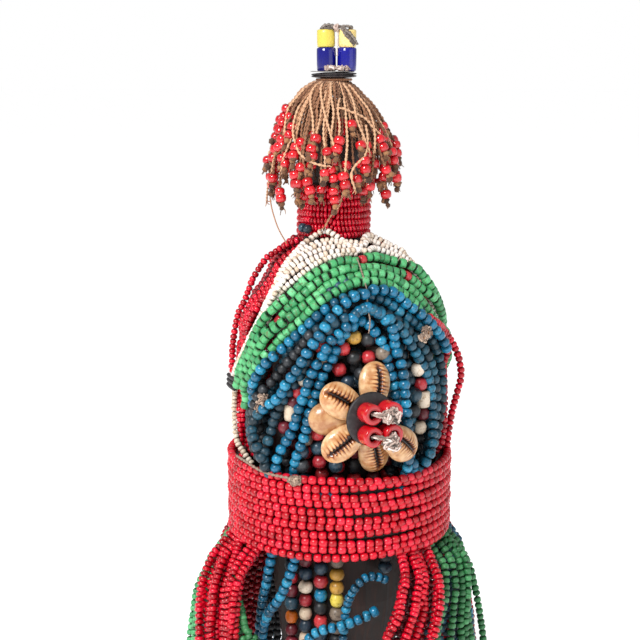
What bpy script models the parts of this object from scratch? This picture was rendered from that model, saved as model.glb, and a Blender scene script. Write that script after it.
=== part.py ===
"""Beaded wooden doll: a carved figure dressed in strands of glass beads, with a corded tassel for hair,
a cowrie rosette, a broad bead belt and a skirt of hanging strands."""

import math

import bmesh
import bpy
import numpy as np
from mathutils import Matrix, Vector

# Heights, stacked from the floor up, in metres
BASE_HEIGHT = 0.008
HEM_HEIGHT = 0.020
SKIRT_LENGTH = 0.0855
BELT_HEIGHT = 0.027
MANTLE_HEIGHT = 0.070
NECK_WRAP_HEIGHT = 0.0165
HAIR_RISE = 0.0325
HAIR_HANG = 0.0065
DISC_THICKNESS = 0.0006
BLUE_BEAD_LENGTH = 0.0071
YELLOW_BEAD_LENGTH = 0.0052
LOOP_RISE = 0.0022

# Radii and thicknesses
BASE_RADIUS = 0.026
TORSO_RADIUS = 0.022
NECK_RADIUS = 0.0092
HEAD_RADIUS = 0.0085
MANTLE_RADIUS = 0.036
BELT_RADIUS = 0.0372
BELT_THICKNESS = 0.0030
HEM_RADIUS = 0.056
NECK_WRAP_RADIUS = 0.012
HAIR_RADIUS = 0.0226
DISC_RADIUS = 0.0072
TOP_BEAD_RADIUS = 0.00285
LOOP_CORD_RADIUS = 0.0008
INNER_BEAD = 0.0046
STRAND_RADIUS = 0.00165
SKIRT_THICKNESS = 0.0042
ROSETTE_RADIUS = 0.0085
ROSETTE_THICKNESS = 0.0012
ROSETTE_BEAD_RADIUS = 0.0031
ROSETTE_BEAD_LENGTH = 0.0056
COWRIE_LENGTH = 0.0150
COWRIE_WIDTH = 0.0104
COWRIE_DEPTH = 0.0066
# A shell's taper along its length, its flatter face and its slit, as shares of its half sizes
COWRIE_TAPER = 0.16
COWRIE_FACE = 0.62
COWRIE_SLIT = 0.34
COWRIE_LEAN = 12
GAP = 0.0003

# Lean of the top beads and tilt of the discs, in degrees
STACK_LEAN = 2.0
DISC_TILT = 1.1

# The head and neck sit a little to the figure's own right
NECK_SHIFT = -0.002
BELT_ROWS = 11
NECK_WRAP_ROWS = 8
HAIR_LOCKS = 16
LOCK_DEPTH = 0.055
RIDGE = 0.0009
WELD = 0.000001
DEEP = 0.05

BELT_BOTTOM = HEM_HEIGHT + SKIRT_LENGTH
BELT_TOP = BELT_BOTTOM + BELT_HEIGHT
NECK_LEVEL = BELT_TOP + MANTLE_HEIGHT
NECK_WRAP_TOP = NECK_LEVEL + NECK_WRAP_HEIGHT
HAIR_TOP = NECK_WRAP_TOP + HAIR_RISE
BELT_INSIDE = BELT_RADIUS - BELT_THICKNESS
TUCK = BELT_INSIDE - GAP

# Colours: red, green, blue and roughness
COLOURS = {
    "wood": (0.030, 0.017, 0.014, 0.60),
    "red": (0.600, 0.020, 0.035, 0.30),
    "white": (0.780, 0.660, 0.560, 0.45),
    "green": (0.110, 0.430, 0.170, 0.40),
    "blue": (0.020, 0.190, 0.390, 0.35),
    "teal": (0.015, 0.070, 0.100, 0.40),
    "mixed": (0.160, 0.050, 0.050, 0.35),
    "twine": (0.480, 0.280, 0.140, 0.80),
    "shell": (0.850, 0.580, 0.340, 0.35),
    "black": (0.045, 0.034, 0.038, 0.50),
    "navy": (0.012, 0.012, 0.220, 0.15),
    "yellow": (0.870, 0.760, 0.110, 0.30),
}

# Outline of the mantle: share of its height, share of its radius
MANTLE_OUTLINE = (
    (0.00, 0.975), (0.10, 1.000), (0.25, 1.000), (0.40, 0.985), (0.54, 0.955), (0.68, 0.900),
    (0.79, 0.830), (0.87, 0.745), (0.92, 0.650), (0.965, 0.520), (1.00, 0.400), (1.05, 0.335),
)
# Outline of the carved torso under it: share of the mantle's height, share of the way from neck to torso
TORSO_OUTLINE = ((0.00, 1.00), (0.45, 1.00), (0.68, 0.80), (0.84, 0.42), (0.95, 0.10), (1.00, 0.00))
# Where the axis leans over to the neck: share of the mantle's height, share of the lean
NECK_LEAN = ((0.46, 0.0), (0.98, 1.0))
# Flare of the skirt: share of its length below the belt, share of the way from belt to hem
SKIRT_FLARE = ((0.00, 0.00), (0.08, 0.36), (0.18, 0.56), (0.30, 0.67), (0.45, 0.77), (1.00, 1.00))

# Shares of the skirt's length at which its panels bend
SKIRT_LEVELS = (0.0, 0.08, 0.20, 0.45, 1.0)

# Strand families on the mantle. Each station gives the angle round the figure in degrees, 0 at the front,
# and the height in hundredths of the mantle's height, first on the outer edge, then on the inner edge.
# A fifth value is how far the shells press the strands inwards there, in metres.
WHITE_STATIONS = (
    (-75, 3, -65, 5), (-80, 24, -70, 25), (-74, 41, -66.5, 41), (-64, 58, -57, 53), (-54, 74, -45, 68),
    (-46, 87, -34, 79.5), (-34, 97, -20, 87.5), (-14, 99, -3, 92), (10, 98.6, 14, 93.6),
    (38, 98.4, 33, 94.8), (60, 98.4, 50, 94.5), (76, 95.5, 63, 90.4), (85, 87, 73, 82.4), (88, 72, 79, 71),
    (88, 57, 80, 61),
)
GREEN_STATIONS = (
    (-69, 26.5, -62, 25), (-65.5, 38.5, -56, 33), (-56.5, 50, -47, 42.6), (-45, 64, -36, 53),
    (-34, 77, -27, 62), (-20, 85, -15, 71), (-3, 90.4, 0, 78.6), (14, 92, 15, 82.6), (33, 93, 30, 82.2),
    (50, 92.6, 42, 76.8), (62, 88.2, 52, 69.6), (72, 80.2, 62, 62.5), (77.5, 69, 70, 58),
)
BLUE_OUTER_STATIONS = (
    (-59, -2, -35, -2), (-64, 9, -38, 9), (-65, 20.5, -36, 23.5), (-57, 28, -31, 36.5),
    (-46, 40.5, -22, 48.5), (-35, 51, -12, 58.5), (-22, 63.3, -1, 67), (-8, 72.6, 9, 71.4),
    (6, 78.4, 17, 72.9), (19, 81.2, 25, 71.2), (32, 80, 33, 65.2), (45, 72.4, 40, 55.7),
    (59, 61, 47, 43.5), (73, 52, 51, 32), (84, 40, 50, 20.5), (84, 25, 45, 10), (64, -2, 40, -2),
)
BLUE_INNER_STATIONS = (
    (-33.5, -2, -26, -2, 0), (-31, 12, -20, 12, 0), (-25, 27.7, -14, 29.2, 0), (-19, 42, -6.5, 42, 0),
    (-12, 54, -1, 52.8, 0), (-4, 62.5, 5, 60, 0), (5, 68.3, 11, 63.9, 0), (14, 71, 16, 64.4, 0),
    (22, 70, 20, 60.7, 0), (29, 64.2, 23.5, 53.5, 0), (34.5, 53.5, 26, 43.5, 0.0006),
    (36.3, 39.2, 28, 30.6, 0.0024), (36.8, 25, 30, 19.2, 0.0044), (37.5, 10.6, 31, 9.2, 0.0046),
    (37, -2, 31, -2, 0.0030),
)
RED_LEFT_STATIONS = (
    (-103, 98, -43, 98.5), (-103, 91, -52, 92), (-104, 78, -59, 78), (-105, 62, -68, 62),
    (-105, 43.5, -78, 43.5), (-105, 25, -84, 25), (-105, -2, -79, -2),
)
RED_BACK_STATIONS = ((106, 98, 254, 98), (106, 88, 254, 88), (106, 70, 254, 70), (106, 45, 254, 45),
                     (106, 20, 254, 20), (106, -2, 254, -2))
RED_RIGHT_STATIONS = ((90, 97, 105, 98), (90, 84, 105, 84), (91, 64, 105, 64), (91, 45, 105, 45),
                      (88, 25, 105, 25), (79, 9, 105, 8), (68, -2, 105, -2))
# The blue strand that crosses over the others, and the red one that stands out at the side
CROSSING_POINTS = ((-38, 25), (-31, 35), (-24, 44), (-17, 53), (-10, 62), (-2, 70), (8, 76), (20, 78.5),
                   (32, 77), (43, 71), (53, 63))
SIDE_LOOP_POINTS = ((93, 62), (92, 50), (91, 38), (91, 25), (92, 12), (95, 4))
SIDE_LOOP_BULGE = 0.0020

# Skirt panels: colour, strands, angles of both edges at the belt and at the hem, layers that hang outside it
SKIRT_PANELS = {
    "skirt_red_left": ("red", 9, -92, -47, -92, -42, 0),
    "skirt_red_right": ("red", 8, 30, 60, -5, 36, 0),
    "skirt_green_right": ("green", 6, 62, 88, 38, 84, 0),
    "skirt_teal_right": ("teal", 4, 90, 106, 87, 106, 0),
    "skirt_red_back_right": ("red", 8, 108, 150, 108, 150, 0),
    "skirt_green_back": ("green", 7, 152, 184, 152, 184, 0),
    "skirt_blue_back": ("blue", 7, 186, 216, 186, 216, 0),
    "skirt_red_back_left": ("red", 7, 218, 249, 218, 249, 0),
    "skirt_green_left": ("green", 4, 251, 266, 251, 266, 0),
    "skirt_green_front": ("green", 5, -62, -52, -44, -10, 1),
}
# Blue strands in the skirt's front opening: angle, height in hundredths of the skirt's length, and how many
# strand widths behind the others
OPENING_STRANDS = {
    "opening_strand_left": (
        (-42, 103, 0), (-41, 95, 0.5), (-42, 86, 1), (-44, 76, 1), (-44, 65, 1), (-43, 55, 1),
    ),
    "opening_strand_right": (
        (-29, 103, 0), (-31, 96, 0), (-34, 88, 0), (-35, 80, 1), (-33, 72, 1), (-30, 60, 1),
    ),
    "opening_loop_low": (
        (-22, 42, 0), (-23, 50, 0), (-22, 58, 0), (-19, 66, 0), (-12, 72, 0), (2, 75, 0), (12, 77.5, 0),
        (20, 80, 0),
    ),
    "opening_loop_high": (
        (26, 90, 0), (21, 92, 0), (14, 92.5, 0), (8, 89, 0), (4, 81, 1), (2, 71.5, 1), (1, 60, 1),
        (1, 48, 1),
    ),
}
# How far the opening's strands follow the skirt outwards, as a share
OPENING_FLARE = 0.20
OPENING_STEPS = 12
# Strands of large beads against the torso: place at the top and at the foot, in bead widths round the torso
# from the front, then the top and the foot as shares of the mantle's height and of the skirt's length
INNER_STRANDS = (
    (-3.15, -3.3, 0.44, 0.30), (-2.1, -2.25, 0.54, 0.30), (-1.1, -1.25, 0.64, 0.30),
    (-0.1, -0.25, 0.68, 0.30), (0.9, 0.8, 0.68, None), (2.1, 2.05, 0.68, None), (3.15, 3.0, 0.62, 0.90),
    (4.5, 4.6, 0.56, None),
)

# Rosette: where it sits and which way it faces
ROSETTE_ANGLE = 16
ROSETTE_LEVEL = 0.26
ROSETTE_TURN = 26
ROSETTE_STANDOFF = 0.0030
# Cowries: clock angle round the rosette in degrees, 0 upright, distance from its centre in shell widths,
# and how far behind the others in shell depths
COWRIES = (
    ("cowrie_top", 2, 1.125, 0.0), ("cowrie_upper_left", 62, 1.20, 0.0), ("cowrie_left", 98, 1.145, 0.76),
    ("cowrie_lower_left", 137, 1.135, 0.0), ("cowrie_bottom", 183, 0.96, 0.70),
    ("cowrie_lower_right", 227, 1.135, 0.0),
)


def clear_scene():
    for item in list(bpy.data.objects):
        bpy.data.objects.remove(item, do_unlink=True)


def finish(name, colour):
    """The Principled material of one finish, made once."""
    material = bpy.data.materials.get(colour)
    if material is None:
        red, green, blue, roughness = COLOURS[colour]
        material = bpy.data.materials.new(colour)
        material.use_nodes = True
        shader = material.node_tree.nodes["Principled BSDF"]
        shader.inputs["Base Color"].default_value = (red, green, blue, 1.0)
        shader.inputs["Roughness"].default_value = roughness
        shader.inputs["Metallic"].default_value = 0.0
    bpy.data.objects[name].data.materials.append(material)


def place_mesh(name, shape, colour, smooth_angle=40):
    """Turns a bmesh into a named object in the scene."""
    bmesh.ops.recalc_face_normals(shape, faces=shape.faces)
    mesh = bpy.data.meshes.new(name)
    shape.to_mesh(mesh)
    shape.free()
    mesh.shade_smooth()
    mesh.set_sharp_from_angle(angle=math.radians(smooth_angle))
    item = bpy.data.objects.new(name, mesh)
    bpy.context.scene.collection.objects.link(item)
    finish(name, colour)
    return item


def outline(points, share):
    shares, values = zip(*points)
    return float(np.interp(share, shares, values))


def shift(height):
    """Sideways offset of the figure's axis: none up to the shoulders, all of NECK_SHIFT at the neck."""
    share = (height - BELT_TOP) / MANTLE_HEIGHT
    rise = outline(NECK_LEAN, share)
    return NECK_SHIFT * rise * rise * (3 - 2 * rise)


def spot(angle, height, radius):
    """A point at an angle round the figure, 0 at the front and positive towards +X."""
    turn = math.radians(angle)
    return Vector((shift(height) + radius * math.sin(turn), -radius * math.cos(turn), height))


def torso(height):
    share = (height - BELT_TOP) / MANTLE_HEIGHT
    return NECK_RADIUS + (TORSO_RADIUS - NECK_RADIUS) * outline(TORSO_OUTLINE, share)


def under(height):
    """Radius just outside the inner strands, or just outside the wood where those have ended."""
    share = (height - BELT_TOP) / MANTLE_HEIGHT
    layer = INNER_BEAD * outline(((0.74, 1.0), (0.84, 0.0)), share)
    return torso(height) + layer + 2 * GAP


def mantle(height):
    """Outer radius of the strands above the belt, drawn in where they pass under it."""
    share = (height - BELT_TOP) / MANTLE_HEIGHT
    free = MANTLE_RADIUS * outline(MANTLE_OUTLINE, share)
    return min(free, TUCK + 0.6 * (height - BELT_TOP))


def skirt(height):
    """Outer radius of the strands below the belt."""
    share = (BELT_BOTTOM - height) / SKIRT_LENGTH
    return TUCK + (HEM_RADIUS - TUCK) * outline(SKIRT_FLARE, share)


def through(points, share):
    """The point at a share of the way along a smooth line through the given points."""
    points = np.asarray(points, float)
    last = len(points) - 1
    step = min(int(share * last), last - 1)
    part = share * last - step
    before, start, end, after = (points[min(max(step + k, 0), last)] for k in (-1, 0, 1, 2))
    bend = 2 * start + (end - before) * part
    bend += (2 * before - 5 * start + 4 * end - after) * part**2
    bend += (3 * start - before - 3 * end + after) * part**3
    return bend / 2


def swept(name, section, steps, place, colour):
    """A closed body: a section of (across, depth) pairs carried along its length, both ends capped."""
    shape = bmesh.new()
    sides = len(section)
    bmesh.ops.create_grid(shape, x_segments=sides, y_segments=steps, size=0.5)
    for vertex in shape.verts:
        across, depth = section[round((vertex.co.x + 0.5) * sides) % sides]
        vertex.co = place(vertex.co.y + 0.5, across, depth)
    bmesh.ops.remove_doubles(shape, verts=shape.verts, dist=WELD)
    caps = bmesh.ops.holes_fill(shape, edges=shape.edges, sides=0)["faces"]
    bmesh.ops.triangulate(shape, faces=caps, ngon_method="EAR_CLIP")
    return place_mesh(name, shape, colour)


def ridged(strands):
    """Section of strands side by side: a ridge on each outside, and a plainer inner face."""
    outside = [(0.0, RIDGE)]
    for strand in range(strands):
        outside += [((strand + 0.5) / strands, 0.0), ((strand + 1) / strands, RIDGE)]
    spans = (strands + 1) // 2
    inside = [(1 - span / spans, DEEP) for span in range(spans + 1)]
    return outside + inside


def mantle_band(name, stations, strands, steps, colour):
    """Strands lying side by side over the inner ones, from one edge line to the other."""

    def place(along, across, depth):
        first_angle, first_level, last_angle, last_level, *pressed = through(stations, along)
        angle = first_angle + (last_angle - first_angle) * across
        level = first_level + (last_level - first_level) * across
        height = BELT_TOP + MANTLE_HEIGHT * level / 100
        return spot(angle, height, max(mantle(height) - sum(pressed) - depth, under(height)))

    return swept(name, ridged(strands), steps, place, colour)


def skirt_panel(name, colour, strands, top_first, top_last, low_first, low_last, layer):
    """Strands hanging side by side from inside the belt to the hem."""
    levels = [BELT_BOTTOM + BELT_HEIGHT / 3] + [BELT_BOTTOM - SKIRT_LENGTH * share for share in SKIRT_LEVELS]

    def place(along, across, depth):
        height = levels[round(along * (len(levels) - 1))]
        fall = min(max((BELT_BOTTOM - height) / SKIRT_LENGTH / 0.6, 0.0), 1.0)
        first = top_first + (low_first - top_first) * fall
        last = top_last + (low_last - top_last) * fall
        radius = skirt(height) - layer * (SKIRT_THICKNESS + 3 * GAP)
        return spot(first + (last - first) * across, height, radius - min(depth, SKIRT_THICKNESS))

    return swept(name, ridged(strands), len(levels) - 1, place, colour)


def cord(name, points, radius, colour):
    """A strand or a thread as a round tube through its points."""
    curve = bpy.data.curves.new(name, "CURVE")
    curve.dimensions = "3D"
    curve.bevel_depth = radius
    curve.bevel_resolution = 1
    curve.use_fill_caps = True
    spline = curve.splines.new("POLY")
    spline.points.add(len(points) - 1)
    for target, point in zip(spline.points, points):
        target.co = (*point, 1.0)
    item = bpy.data.objects.new(name, curve)
    bpy.context.scene.collection.objects.link(item)
    finish(name, colour)
    return item


def mantle_cord(name, points, bulge, steps, colour):
    """A strand that lies over the others on the mantle, and may stand out from them in its middle."""
    line = []
    for step in range(steps + 1):
        angle, level = through(points, step / steps)
        height = BELT_TOP + MANTLE_HEIGHT * level / 100
        lift = STRAND_RADIUS + GAP + bulge * math.sin(math.pi * step / steps)
        line.append(spot(angle, height, mantle(height) + lift))
    return cord(name, line, STRAND_RADIUS, colour)


def turned(name, profile, steps, colour, shape_point=None, smooth_angle=40):
    """A body turned round the figure's own axis. The profile is a closed or a pole-to-pole run of
    (radius, height) pairs, and shape_point may move each point of it."""
    shape = bmesh.new()
    points = [shape.verts.new((radius, 0.0, height)) for radius, height in profile]
    edges = [shape.edges.new(pair) for pair in zip(points, points[1:])]
    if profile[0][0] > 0:
        edges.append(shape.edges.new((points[-1], points[0])))
    bmesh.ops.spin(
        shape, geom=points + edges, cent=(0, 0, 0), axis=(0, 0, 1), angle=math.tau, steps=steps,
        use_merge=True,
    )
    bmesh.ops.remove_doubles(shape, verts=shape.verts, dist=WELD)
    for vertex in shape.verts:
        if shape_point:
            shape_point(vertex.co)
        vertex.co.x += shift(vertex.co.z)
    return place_mesh(name, shape, colour, smooth_angle)


def make_figure():
    """The carved core: low round base, column, torso, shoulders, neck and head in one piece of wood."""
    waist = TORSO_RADIUS * 0.80
    profile = [
        (0.0, 0.0),
        (BASE_RADIUS, 0.0),
        (BASE_RADIUS, BASE_HEIGHT * 0.75),
        (BASE_RADIUS * 0.92, BASE_HEIGHT),
        (waist, BASE_HEIGHT + 0.006),
        (waist, HEM_HEIGHT + SKIRT_LENGTH * 0.35),
        (TORSO_RADIUS, HEM_HEIGHT + SKIRT_LENGTH * 0.75),
    ]
    for share in (0.0, 0.45, 0.56, 0.68, 0.76, 0.84, 0.90, 0.95, 1.0):
        height = BELT_TOP + MANTLE_HEIGHT * share
        profile.append((torso(height), height))
    crown = HAIR_TOP - HAIR_RISE * 0.2
    profile += [
        (NECK_RADIUS, NECK_WRAP_TOP + GAP),
        (HEAD_RADIUS, NECK_WRAP_TOP + 2 * GAP),
        (HEAD_RADIUS, crown - HEAD_RADIUS * 0.4),
        (HEAD_RADIUS * 0.7, crown),
        (0.0, crown),
    ]
    turned("wooden_figure", profile, 16, "wood", smooth_angle=30)


def row_profile(inside, outside, bottom, top, rows):
    """Closed section of bead rows stacked on each other, with a ridge for each row."""
    pitch = (top - bottom) / rows
    dent = outside - min(RIDGE, pitch / 2)
    profile = [(inside, top), (inside, bottom), (dent, bottom)]
    for row in range(rows):
        profile += [(outside, bottom + pitch * (row + 0.5)), (dent, bottom + pitch * (row + 1))]
    return profile


def make_belt():
    def slack(point):
        turn = math.atan2(point.x, -point.y)
        middle = 4 * (point.z - BELT_BOTTOM) * (BELT_TOP - point.z) / BELT_HEIGHT**2
        point.z += BELT_HEIGHT * 0.02 * middle * math.sin(3 * turn + 0.8)

    profile = row_profile(BELT_INSIDE, BELT_RADIUS, BELT_BOTTOM, BELT_TOP, BELT_ROWS)
    turned("belt", profile, 24, "red", slack)


def make_neck_wrap():
    bottom = NECK_LEVEL + GAP
    profile = row_profile(NECK_RADIUS + GAP, NECK_WRAP_RADIUS, bottom, NECK_WRAP_TOP, NECK_WRAP_ROWS)
    turned("neck_wrap", profile, 16, "red")


def make_hair():
    """The tassel: cords gathered under the discs and spread as a bell, ragged at the bottom."""
    low = NECK_WRAP_TOP - HAIR_HANG
    rise = HAIR_TOP - low
    hollow = NECK_WRAP_RADIUS + GAP
    crown = HAIR_TOP - HAIR_RISE * 0.2
    profile = [
        (0.0, HAIR_TOP),
        (HAIR_RADIUS * 0.27, HAIR_TOP),
        (HAIR_RADIUS * 0.54, HAIR_TOP - rise * 0.07),
        (HAIR_RADIUS * 0.76, HAIR_TOP - rise * 0.22),
        (HAIR_RADIUS * 0.89, HAIR_TOP - rise * 0.42),
        (HAIR_RADIUS * 0.97, HAIR_TOP - rise * 0.62),
        (HAIR_RADIUS, HAIR_TOP - rise * 0.80),
        (HAIR_RADIUS * 0.93, low),
        (hollow + HAIR_RADIUS * 0.06, low + rise * 0.03),
        (hollow, NECK_WRAP_TOP - HAIR_HANG * 0.3),
        (hollow, NECK_WRAP_TOP + GAP),
        (HEAD_RADIUS + GAP, NECK_WRAP_TOP + 3 * GAP),
        (HEAD_RADIUS + GAP, crown + GAP),
        (0.0, crown + GAP),
    ]

    def lock(point):
        radius = math.hypot(point.x, point.y)
        if radius < hollow * 1.02 or point.z > HAIR_TOP - rise * 0.05:
            return
        turn = math.atan2(point.y, point.x)
        fall = (HAIR_TOP - point.z) / rise
        swell = 1 + LOCK_DEPTH * (math.cos(HAIR_LOCKS * turn) - 1) * min(2 * fall, 1)
        point.x *= swell
        point.y *= swell
        if fall > 0.9:
            point.z += rise * 0.05 * (1 + math.cos(HAIR_LOCKS / 2 * turn + 2))

    turned("hair_tassel", profile, 2 * HAIR_LOCKS, "twine", lock)


def upright(name, radius, length, centre, tilt, colour, sides=12, edge=0.0004):
    """A plain cylinder with eased edges. The tilt is in degrees about Y, then about X."""
    shape = bmesh.new()
    bmesh.ops.create_cone(
        shape, cap_ends=True, segments=sides, radius1=radius, radius2=radius, depth=length
    )
    rims = [e for e in shape.edges if abs(e.verts[0].co.z - e.verts[1].co.z) < WELD]
    if edge:
        bmesh.ops.bevel(
            shape, geom=rims, offset=edge, segments=1, profile=0.5, affect="EDGES", material=-1
        )
    item = place_mesh(name, shape, colour)
    item.rotation_euler = (math.radians(tilt[1]), math.radians(tilt[0]), 0.0)
    item.location = centre
    return item


def make_crown():
    """Two dark discs over the hair, two stacks of beads on them and a thread over the top."""
    axis = shift(HAIR_TOP)
    level = HAIR_TOP + GAP
    for name, tilt in (("disc_lower", DISC_TILT), ("disc_upper", -DISC_TILT)):
        slope = DISC_RADIUS * math.sin(math.radians(abs(tilt)))
        level += DISC_THICKNESS / 2 + slope
        upright(name, DISC_RADIUS, DISC_THICKNESS, (axis, 0, level), (tilt, 0), "black", 16, 0.0)
        level += DISC_THICKNESS / 2 + slope + GAP
    spread = TOP_BEAD_RADIUS + GAP
    lean = math.radians(STACK_LEAN)
    tops = []
    for side, label in ((-1, "left"), (1, "right")):
        foot = level + TOP_BEAD_RADIUS * math.sin(lean)
        start = Vector((axis + side * spread, 0, foot))
        way = Vector((math.sin(lean) * side * 0.5, 0, math.cos(lean)))
        first = start + way * BLUE_BEAD_LENGTH / 2
        second = start + way * (BLUE_BEAD_LENGTH + GAP + YELLOW_BEAD_LENGTH / 2)
        tilt = (math.degrees(math.atan2(way.x, way.z)), 0)
        upright(f"bead_blue_{label}", TOP_BEAD_RADIUS, BLUE_BEAD_LENGTH, first, tilt, "navy")
        upright(f"bead_yellow_{label}", TOP_BEAD_RADIUS, YELLOW_BEAD_LENGTH, second, tilt, "yellow")
        tops.append(second + way * (YELLOW_BEAD_LENGTH / 2 + GAP + LOOP_CORD_RADIUS))
    left, right = tops
    middle = (left + right) / 2
    line = [
        left + Vector((-LOOP_CORD_RADIUS, 0, 0)),
        left + Vector((LOOP_CORD_RADIUS, 0, LOOP_RISE * 0.35)),
        middle + Vector((0, 0, LOOP_RISE * 0.5)),
        right + Vector((-LOOP_CORD_RADIUS, 0, LOOP_RISE * 0.35)),
        right + Vector((LOOP_CORD_RADIUS, 0, 0)),
    ]
    cord("top_thread", line, LOOP_CORD_RADIUS, "twine")


def rosette_frame():
    """The rosette's place: origin at the disc's middle, +Z out of its face, +Y up."""
    height = BELT_TOP + MANTLE_HEIGHT * ROSETTE_LEVEL
    centre = spot(ROSETTE_ANGLE, height, mantle(height) + ROSETTE_STANDOFF)
    out = Vector((math.sin(math.radians(ROSETTE_TURN)), -math.cos(math.radians(ROSETTE_TURN)), 0.05))
    out.normalize()
    side = Vector((0, 0, 1)).cross(out).normalized()
    rise = out.cross(side)
    return Matrix.Translation(centre) @ Matrix((side, rise, out)).transposed().to_4x4()


def make_cowrie(name, frame, clock, reach, sunk):
    """One shell: a domed back towards the doll and a flatter face with its long slit outwards."""
    shape = bmesh.new()
    bmesh.ops.create_uvsphere(shape, u_segments=8, v_segments=7, radius=1.0)
    for vertex in shape.verts:
        x, y, z = vertex.co
        # The sphere's poles lie along the shell's length, so its slit runs from one to the other
        along, across, out = z, x, y
        wide = across * (1 - COWRIE_TAPER * along)
        face = out * COWRIE_FACE if out > 0 else out
        if out > 0.3 and abs(across) < 0.2:
            face -= COWRIE_SLIT
        vertex.co = (
            wide * COWRIE_WIDTH / 2,
            along * COWRIE_LENGTH / 2,
            face * COWRIE_DEPTH / (1 + COWRIE_FACE),
        )
    item = place_mesh(name, shape, "shell", 50)
    turn = Matrix.Rotation(math.radians(clock), 4, "Z")
    behind = -(ROSETTE_THICKNESS / 2 + GAP + COWRIE_DEPTH * (0.40 + sunk))
    lean = Matrix.Rotation(math.radians(-COWRIE_LEAN), 4, "X")
    item.matrix_world = frame @ turn @ Matrix.Translation((0, reach * COWRIE_WIDTH, behind)) @ lean
    return item


def make_rosette():
    frame = rosette_frame()
    disc = upright("rosette_disc", ROSETTE_RADIUS, ROSETTE_THICKNESS, (0, 0, 0), (0, 0), "black", 16, 0.0)
    disc.matrix_world = frame
    pitch = ROSETTE_BEAD_RADIUS + GAP
    lift = ROSETTE_THICKNESS / 2 + GAP + ROSETTE_BEAD_LENGTH / 2
    for row, level in (("upper", 1), ("lower", -1)):
        for column, side in (("left", -1), ("right", 1)):
            bead = upright(
                f"rosette_bead_{row}_{column}", ROSETTE_BEAD_RADIUS, ROSETTE_BEAD_LENGTH, (0, 0, 0), (0, 0),
                "red", 10, 0.0006,
            )
            bead.matrix_world = frame @ Matrix.Translation((side * pitch, level * pitch, lift))
    for name, clock, reach, sunk in COWRIES:
        make_cowrie(name, frame, clock, reach, sunk)
    height = BELT_TOP + MANTLE_HEIGHT * ROSETTE_LEVEL
    back = frame @ Vector((0, 0, -ROSETTE_THICKNESS / 2 - GAP))
    root = spot(ROSETTE_ANGLE + 1.5, height, torso(height) + GAP)
    cord("rosette_thread", [root, (root + back) / 2, back], LOOP_CORD_RADIUS * 0.75, "twine")


def make_inner_strands():
    lying = TORSO_RADIUS + GAP + INNER_BEAD / 2
    width = math.degrees((INNER_BEAD + 2 * GAP) / lying)
    for number, (top_place, foot_place, top_share, foot_share) in enumerate(INNER_STRANDS, 1):
        top = BELT_TOP + MANTLE_HEIGHT * top_share
        foot = BELT_BOTTOM + BELT_HEIGHT / 4
        if foot_share is not None:
            foot = HEM_HEIGHT + SKIRT_LENGTH * foot_share
        line = []
        for height in (top, BELT_TOP + MANTLE_HEIGHT * 0.45, BELT_TOP, foot):
            height = min(height, top)
            place = foot_place + (top_place - foot_place) * (height - foot) / (top - foot)
            line.append(spot(place * width, height, torso(height) + GAP + INNER_BEAD / 2))
        if top_share <= 0.45:
            del line[1]
        cord(f"inner_strand_{number}", line, INNER_BEAD / 2, "mixed")


def make_opening_strands():
    lying = TUCK - STRAND_RADIUS - GAP
    for name, points in OPENING_STRANDS.items():
        line = []
        for step in range(OPENING_STEPS + 1):
            angle, level, behind = through(points, step / OPENING_STEPS)
            height = HEM_HEIGHT + SKIRT_LENGTH * level / 100
            depth = behind * (2 * STRAND_RADIUS + GAP)
            line.append(spot(angle, height, lying + OPENING_FLARE * (skirt(height) - TUCK) - depth))
        cord(name, line, STRAND_RADIUS, "blue")


def main():
    clear_scene()
    make_figure()
    make_inner_strands()
    mantle_band("white_strands", WHITE_STATIONS, 7, 16, "white")
    mantle_band("green_strands", GREEN_STATIONS, 5, 16, "green")
    mantle_band("blue_strands_outer", BLUE_OUTER_STATIONS, 4, 18, "blue")
    mantle_band("blue_strands_inner", BLUE_INNER_STATIONS, 2, 18, "blue")
    mantle_band("red_strands_left", RED_LEFT_STATIONS, 7, 7, "red")
    mantle_band("red_strands_back", RED_BACK_STATIONS, 16, 7, "red")
    mantle_band("red_strands_right", RED_RIGHT_STATIONS, 4, 7, "red")
    mantle_cord("crossing_strand", CROSSING_POINTS, 0.0, 16, "blue")
    mantle_cord("red_side_loop", SIDE_LOOP_POINTS, SIDE_LOOP_BULGE, 10, "red")
    make_belt()
    for name, panel in SKIRT_PANELS.items():
        skirt_panel(name, *panel)
    make_opening_strands()
    make_rosette()
    make_neck_wrap()
    make_hair()
    make_crown()


main()
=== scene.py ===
import functools
import math

import bmesh
import bpy
import numpy as np
from mathutils import Matrix, Vector


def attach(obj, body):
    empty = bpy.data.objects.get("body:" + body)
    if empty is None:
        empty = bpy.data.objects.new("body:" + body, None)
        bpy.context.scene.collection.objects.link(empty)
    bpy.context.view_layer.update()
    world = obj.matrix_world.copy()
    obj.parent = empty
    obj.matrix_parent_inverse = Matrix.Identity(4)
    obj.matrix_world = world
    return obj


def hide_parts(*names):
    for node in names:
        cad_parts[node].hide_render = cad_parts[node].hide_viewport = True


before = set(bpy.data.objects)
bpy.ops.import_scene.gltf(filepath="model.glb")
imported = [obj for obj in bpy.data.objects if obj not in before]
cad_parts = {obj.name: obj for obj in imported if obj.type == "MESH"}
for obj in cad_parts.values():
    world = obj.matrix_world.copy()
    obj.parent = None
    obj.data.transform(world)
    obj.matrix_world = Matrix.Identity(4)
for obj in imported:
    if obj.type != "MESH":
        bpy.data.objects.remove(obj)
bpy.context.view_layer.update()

MM = 0.001

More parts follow.
